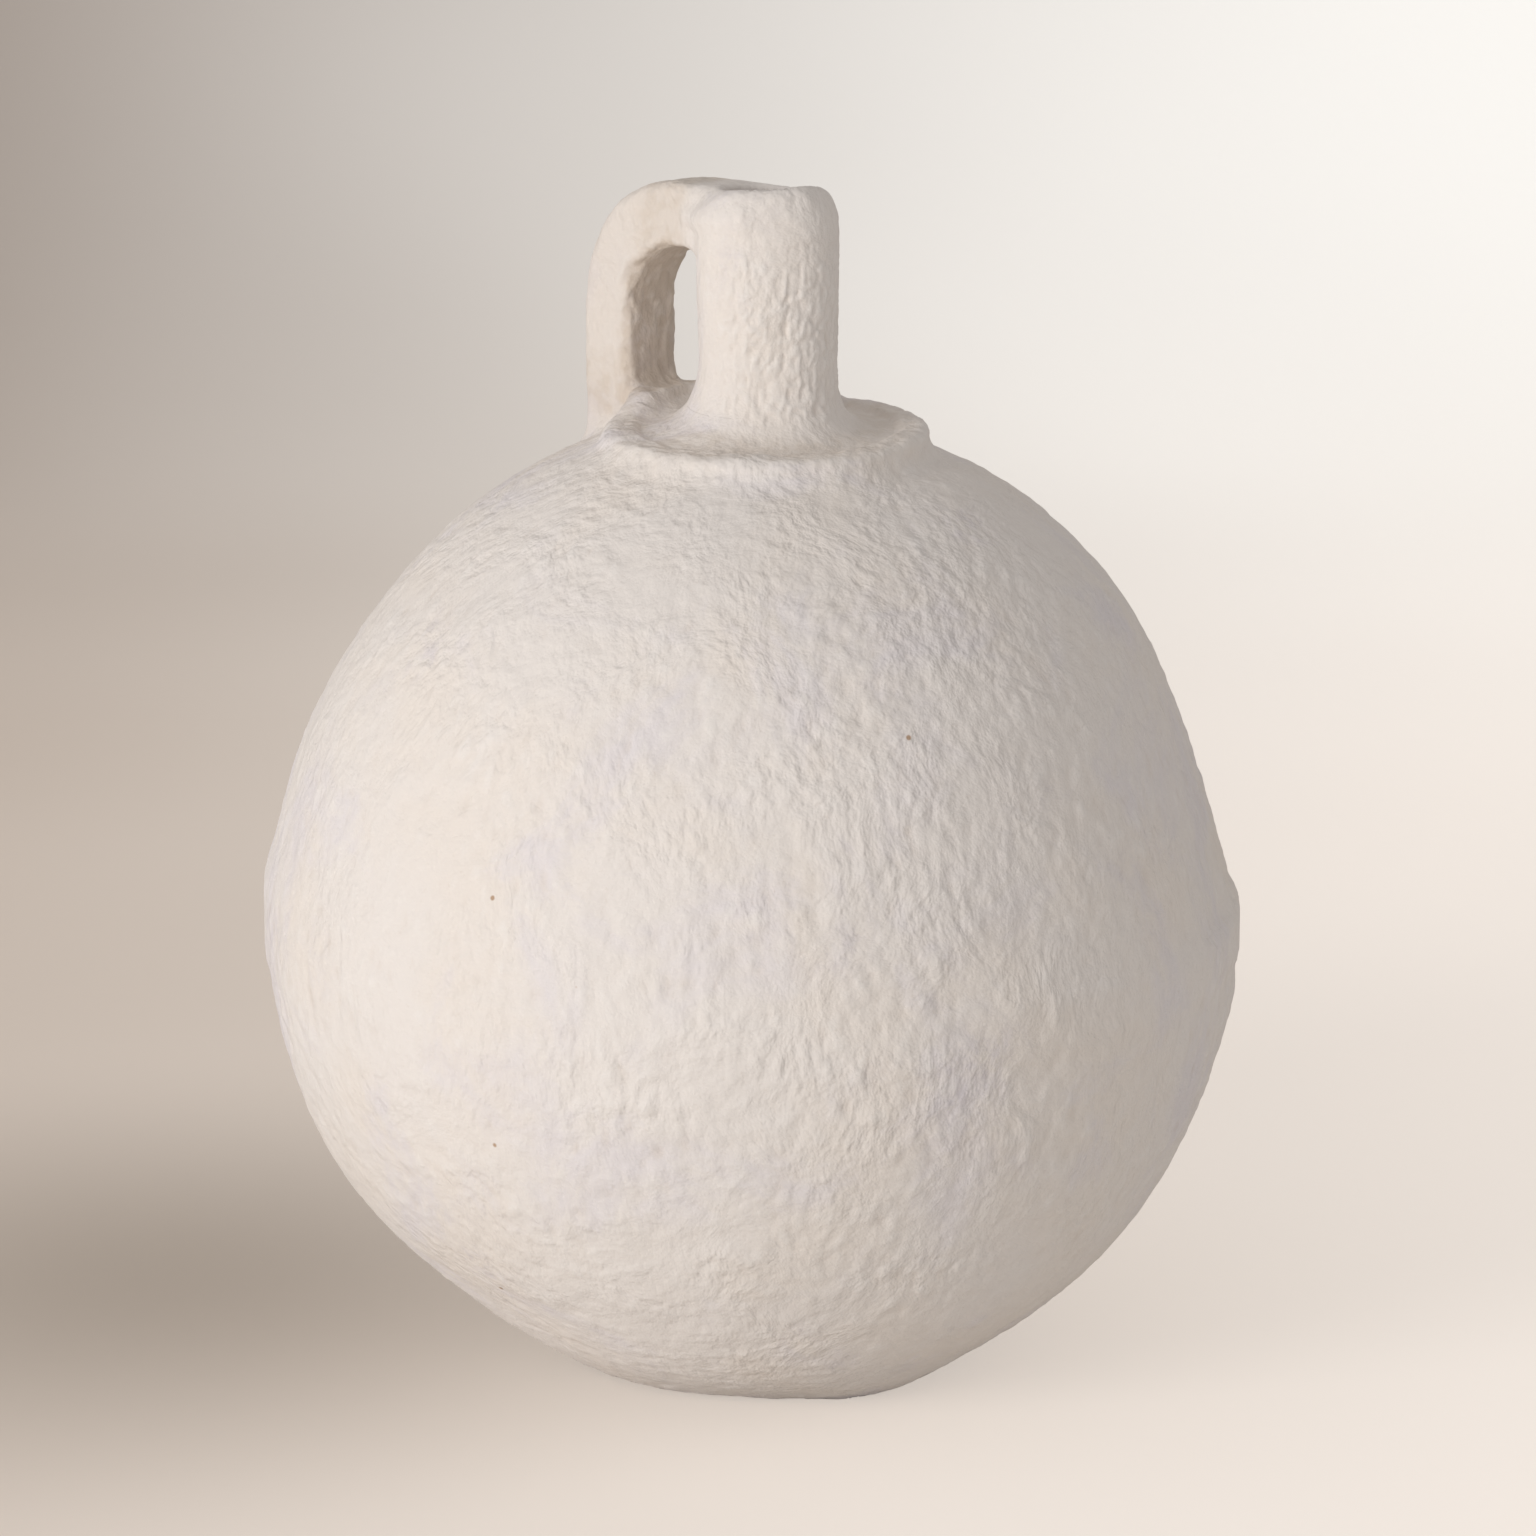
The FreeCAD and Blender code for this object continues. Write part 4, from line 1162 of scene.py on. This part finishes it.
def make_pulp():
    """White paper pulp with clouds, stains, flecks and dust, with painted shade in its hollows and a
    painted highlight on its crests.
    """
    material, tree, shader, place = new_material("paper_pulp", 0.92)
    patch = group_of(tree, patches, Place=place)
    height, raw_and_shade = [add(tree, "ShaderNodeAttribute", attribute_name=mask).outputs["Fac"]
                   for mask in masks]
    colour = PULP_WHITE
    # The hollows get painted shade and the crests a painted highlight; the grime is real dust.
    for mask, share, tint in (
            (patch["Cream"], 0.75, PULP_CREAM), (patch["Lilac"], 0.7, PULP_LILAC),
            (patch["Stain"], 0.55, PULP_STAIN), (spread(tree, height, -0.1, -1.0), 0.42, PULP_DUST_AND_SHADE),
            (spread(tree, height, 0.05, 0.6), 0.45, PULP_CREST_HIGHLIGHT), (raw_and_shade, 0.6, PULP_RAW_AND_SHADE),
            (patch["Grime"], 0.2, PULP_DUST_AND_SHADE), (patch["Fleck"], 0.85, CARD_FLECK)):
        colour = blend_colour(tree, times(tree, mask, share), colour, tint)
    felt = times(tree, group_of(tree, grain, Place=place, Size=520.0)["Height"], 0.16)
    brushed = group_of(tree, strokes, Place=place)["Height"]
    finish(tree, shader, colour, reckon(tree, "ADD", felt, brushed), 0.85, 2.0 * MM)
    return material


def make_paper(name, light, dark, size, roughness):
    """Card or rolled paper: plain, with soft cloudy wear and felted fibres."""
    material, tree, shader, place = new_material(name, roughness)
    patch = group_of(tree, patches, Place=place)
    colour = blend_colour(tree, patch["Cream"], light, dark)
    colour = blend_colour(tree, patch["Grime"], colour, dark)
    felt = group_of(tree, grain, Place=place, Size=size)["Height"]
    finish(tree, shader, colour, felt, 0.3, 0.4 * MM)
    return material


pulp = make_pulp()
card = make_paper("brown_card", CARD_BROWN, CARD_DARK, 900.0, 0.85)
rolled_paper = make_paper("rolled_newsprint", NEWS_GREY, NEWS_DARK, 1200.0, 0.9)

for piece in pulp_pieces:
    piece.data.materials.clear()
    piece.data.materials.append(pulp)
for node, paper in (("base_disc", card), ("neck_tube", card), ("handle_core", rolled_paper)):
    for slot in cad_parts[node].material_slots:
        slot.material = paper
print("finishes:", [material.name for material in (pulp, card, rolled_paper)])

# %% [markdown]
# ## Camera, floor and light
#
# The photograph was taken with a long lens from three metres, a little from above. One
# big soft lamp stands at the front left, hardly higher than the jug, so its top is dimmer
# than its left side. The floor runs up into a wall behind, nearly white at the right and
# darkened to taupe at the left by painted shade, with a painted shadow left of the jug's
# foot. That is paint on the backdrop and no light on the jug.

# %% Camera
CAMERA_DISTANCE = 3.0
CAMERA_HEIGHT = 1.026
CAMERA_PITCH = math.radians(14.56)
camera = linked("photo_view", bpy.data.cameras.new("photo_view"))
camera.data.lens = 177.8
camera.data.sensor_width = 36
camera.location = (neck_x, -CAMERA_DISTANCE, CAMERA_HEIGHT)
camera.rotation_euler = (math.radians(90) - CAMERA_PITCH, 0, 0)
bpy.context.scene.camera = camera

# %% Floor and backdrop in one sheet
FLOOR_HALF = 9.0
WALL_START = 1.6
WALL_BEND = 1.2
WALL_HEIGHT = 5.0
bend = arc((WALL_START, WALL_BEND), WALL_BEND, -90, 0, 17)[1:]
line = [(-FLOOR_HALF, 0), (WALL_START, 0), *bend, (WALL_START + WALL_BEND, WALL_HEIGHT)]
sheet = chain([(-FLOOR_HALF, y, z) for y, z in line])
across = bmesh.ops.extrude_edge_only(sheet, edges=sheet.edges[:])["geom"]
bmesh.ops.translate(sheet, vec=(2 * FLOOR_HALF, 0, 0), verts=only(bmesh.types.BMVert, across))
bmesh.ops.recalc_face_normals(sheet, faces=sheet.faces)
if min(sheet.faces, key=lambda face: face.calc_center_median().y).normal.z < 0:
    bmesh.ops.reverse_faces(sheet, faces=sheet.faces)
floor = as_object(sheet, "floor_and_backdrop")
for face in floor.data.polygons:
    face.use_smooth = True

# %% Paint on the backdrop
# To the camera it is painted from taupe to white: painted shade at the left, and a painted shadow
# beside the jug. To the jug it is plain pale paper.
PLAIN_PALE = (0.88, 0.85, 0.815, 1)
# Painted shade: the taupe that darkens the left of the wall and the floor.
WALL_PAINTED_SHADE = (0.28, 0.23, 0.195, 1)
WALL_WHITE = (0.93, 0.91, 0.875, 1)
GROUND_PAINTED_SHADE = (0.42, 0.345, 0.285, 1)
GROUND_PALE = (0.89, 0.825, 0.765, 1)
# Painted shadow: a soft dark patch on the floor left of the jug's foot.
SHADE_TAUPE = (0.22, 0.18, 0.145, 1)
SHADE_PLACE = (-0.25, 0.08, 0.0)
SHADE_RADIUS = 0.36
SHADE_SHARE = 0.66
BLACK = (0, 0, 0, 1)
PAINT_GLOW = 0.70
PAINT_DIM = 0.42

backdrop, tree, shader, place = new_material("painted_backdrop", 1.0)
shader.inputs["Specular IOR Level"].default_value = 0
where = add(tree, "ShaderNodeSeparateXYZ", {0: place}).outputs
cloud = times(tree, noise_of(tree, place, 0.8, 2, 0.5), 0.6)
side = reckon(tree, "ADD", reckon(tree, "ADD", where["X"], cloud), times(tree, where["Z"], 0.12))
# Painted shade: the sheet darkens from white at the right to taupe at the left.
to_right = spread(tree, side, -0.6, 0.95)
# Painted shadow: darkest at its place, fading out over its radius.
aside = moved_by(tree, "DISTANCE", place, SHADE_PLACE)["Value"]
shade_share = times(tree, spread(tree, aside, SHADE_RADIUS, 0.0), SHADE_SHARE)
ground = blend_colour(tree, to_right, GROUND_PAINTED_SHADE, GROUND_PALE)
paint = blend_colour(tree, spread(tree, where["Y"], 0.7, 2.3),
                     blend_colour(tree, shade_share, ground, SHADE_TAUPE),
                     blend_colour(tree, to_right, WALL_PAINTED_SHADE, WALL_WHITE))
rays = add(tree, "ShaderNodeLightPath").outputs
mirrored = reckon(tree, "MAXIMUM", rays["Is Glossy Ray"], rays["Is Transmission Ray"])
seen = reckon(tree, "MAXIMUM", rays["Is Camera Ray"], mirrored)
lit_paint = blend_colour(tree, PAINT_DIM, paint, BLACK)
tree.links.new(blend_colour(tree, seen, PLAIN_PALE, lit_paint), shader.inputs["Base Color"])


def mixed(share, first, second):
    """Two shaders mixed by a share."""
    return add(tree, "ShaderNodeMixShader", {0: share, 1: first, 2: second}).outputs[0]


glow, unseen = [add(tree, "ShaderNodeEmission", {"Color": colour, "Strength": strength}).outputs[0]
                for colour, strength in ((paint, PAINT_GLOW), (BLACK, 0.0))]
both = add(tree, "ShaderNodeAddShader", {0: shader.outputs[0], 1: mixed(seen, unseen, glow)}).outputs[0]
# From behind or below, the sheet lets the eye through to the jug.
behind = add(tree, "ShaderNodeNewGeometry").outputs["Backfacing"]
through = add(tree, "ShaderNodeBsdfTransparent").outputs[0]
tree.links.new(mixed(behind, both, through), tree.nodes["Material Output"].inputs["Surface"])
floor.data.materials.append(backdrop)

# %% Light
def soft_lamp(name, size, power, colour, place, target):
    """A round soft lamp at a place, turned towards a target."""
    lamp = bpy.data.lights.new(name, "AREA")
    lamp.shape = "DISK"
    lamp.size = size
    lamp.energy = power
    lamp.color = colour
    holder = linked(name, lamp)
    holder.location = place
    holder.rotation_euler = (Vector(target) - Vector(place)).to_track_quat("-Z", "Y").to_euler()


soft_lamp("soft_fill", 1.4, 5, (1, 0.98, 0.97), (0.9, -2.7, 0.3), (0, 0, 0.15))
soft_lamp("soft_key", 1.3, 51, (1, 0.99, 0.98), (-2.35, -2.15, 1.0), (0, 0, 0.2))
world = bpy.data.worlds.new("studio")
bpy.context.scene.world = world
world.use_nodes = True
world.node_tree.nodes["Background"].inputs["Color"].default_value = (1, 0.99, 0.985, 1)
world.node_tree.nodes["Background"].inputs["Strength"].default_value = 0.49
bpy.context.scene.view_settings.view_transform = "Standard"
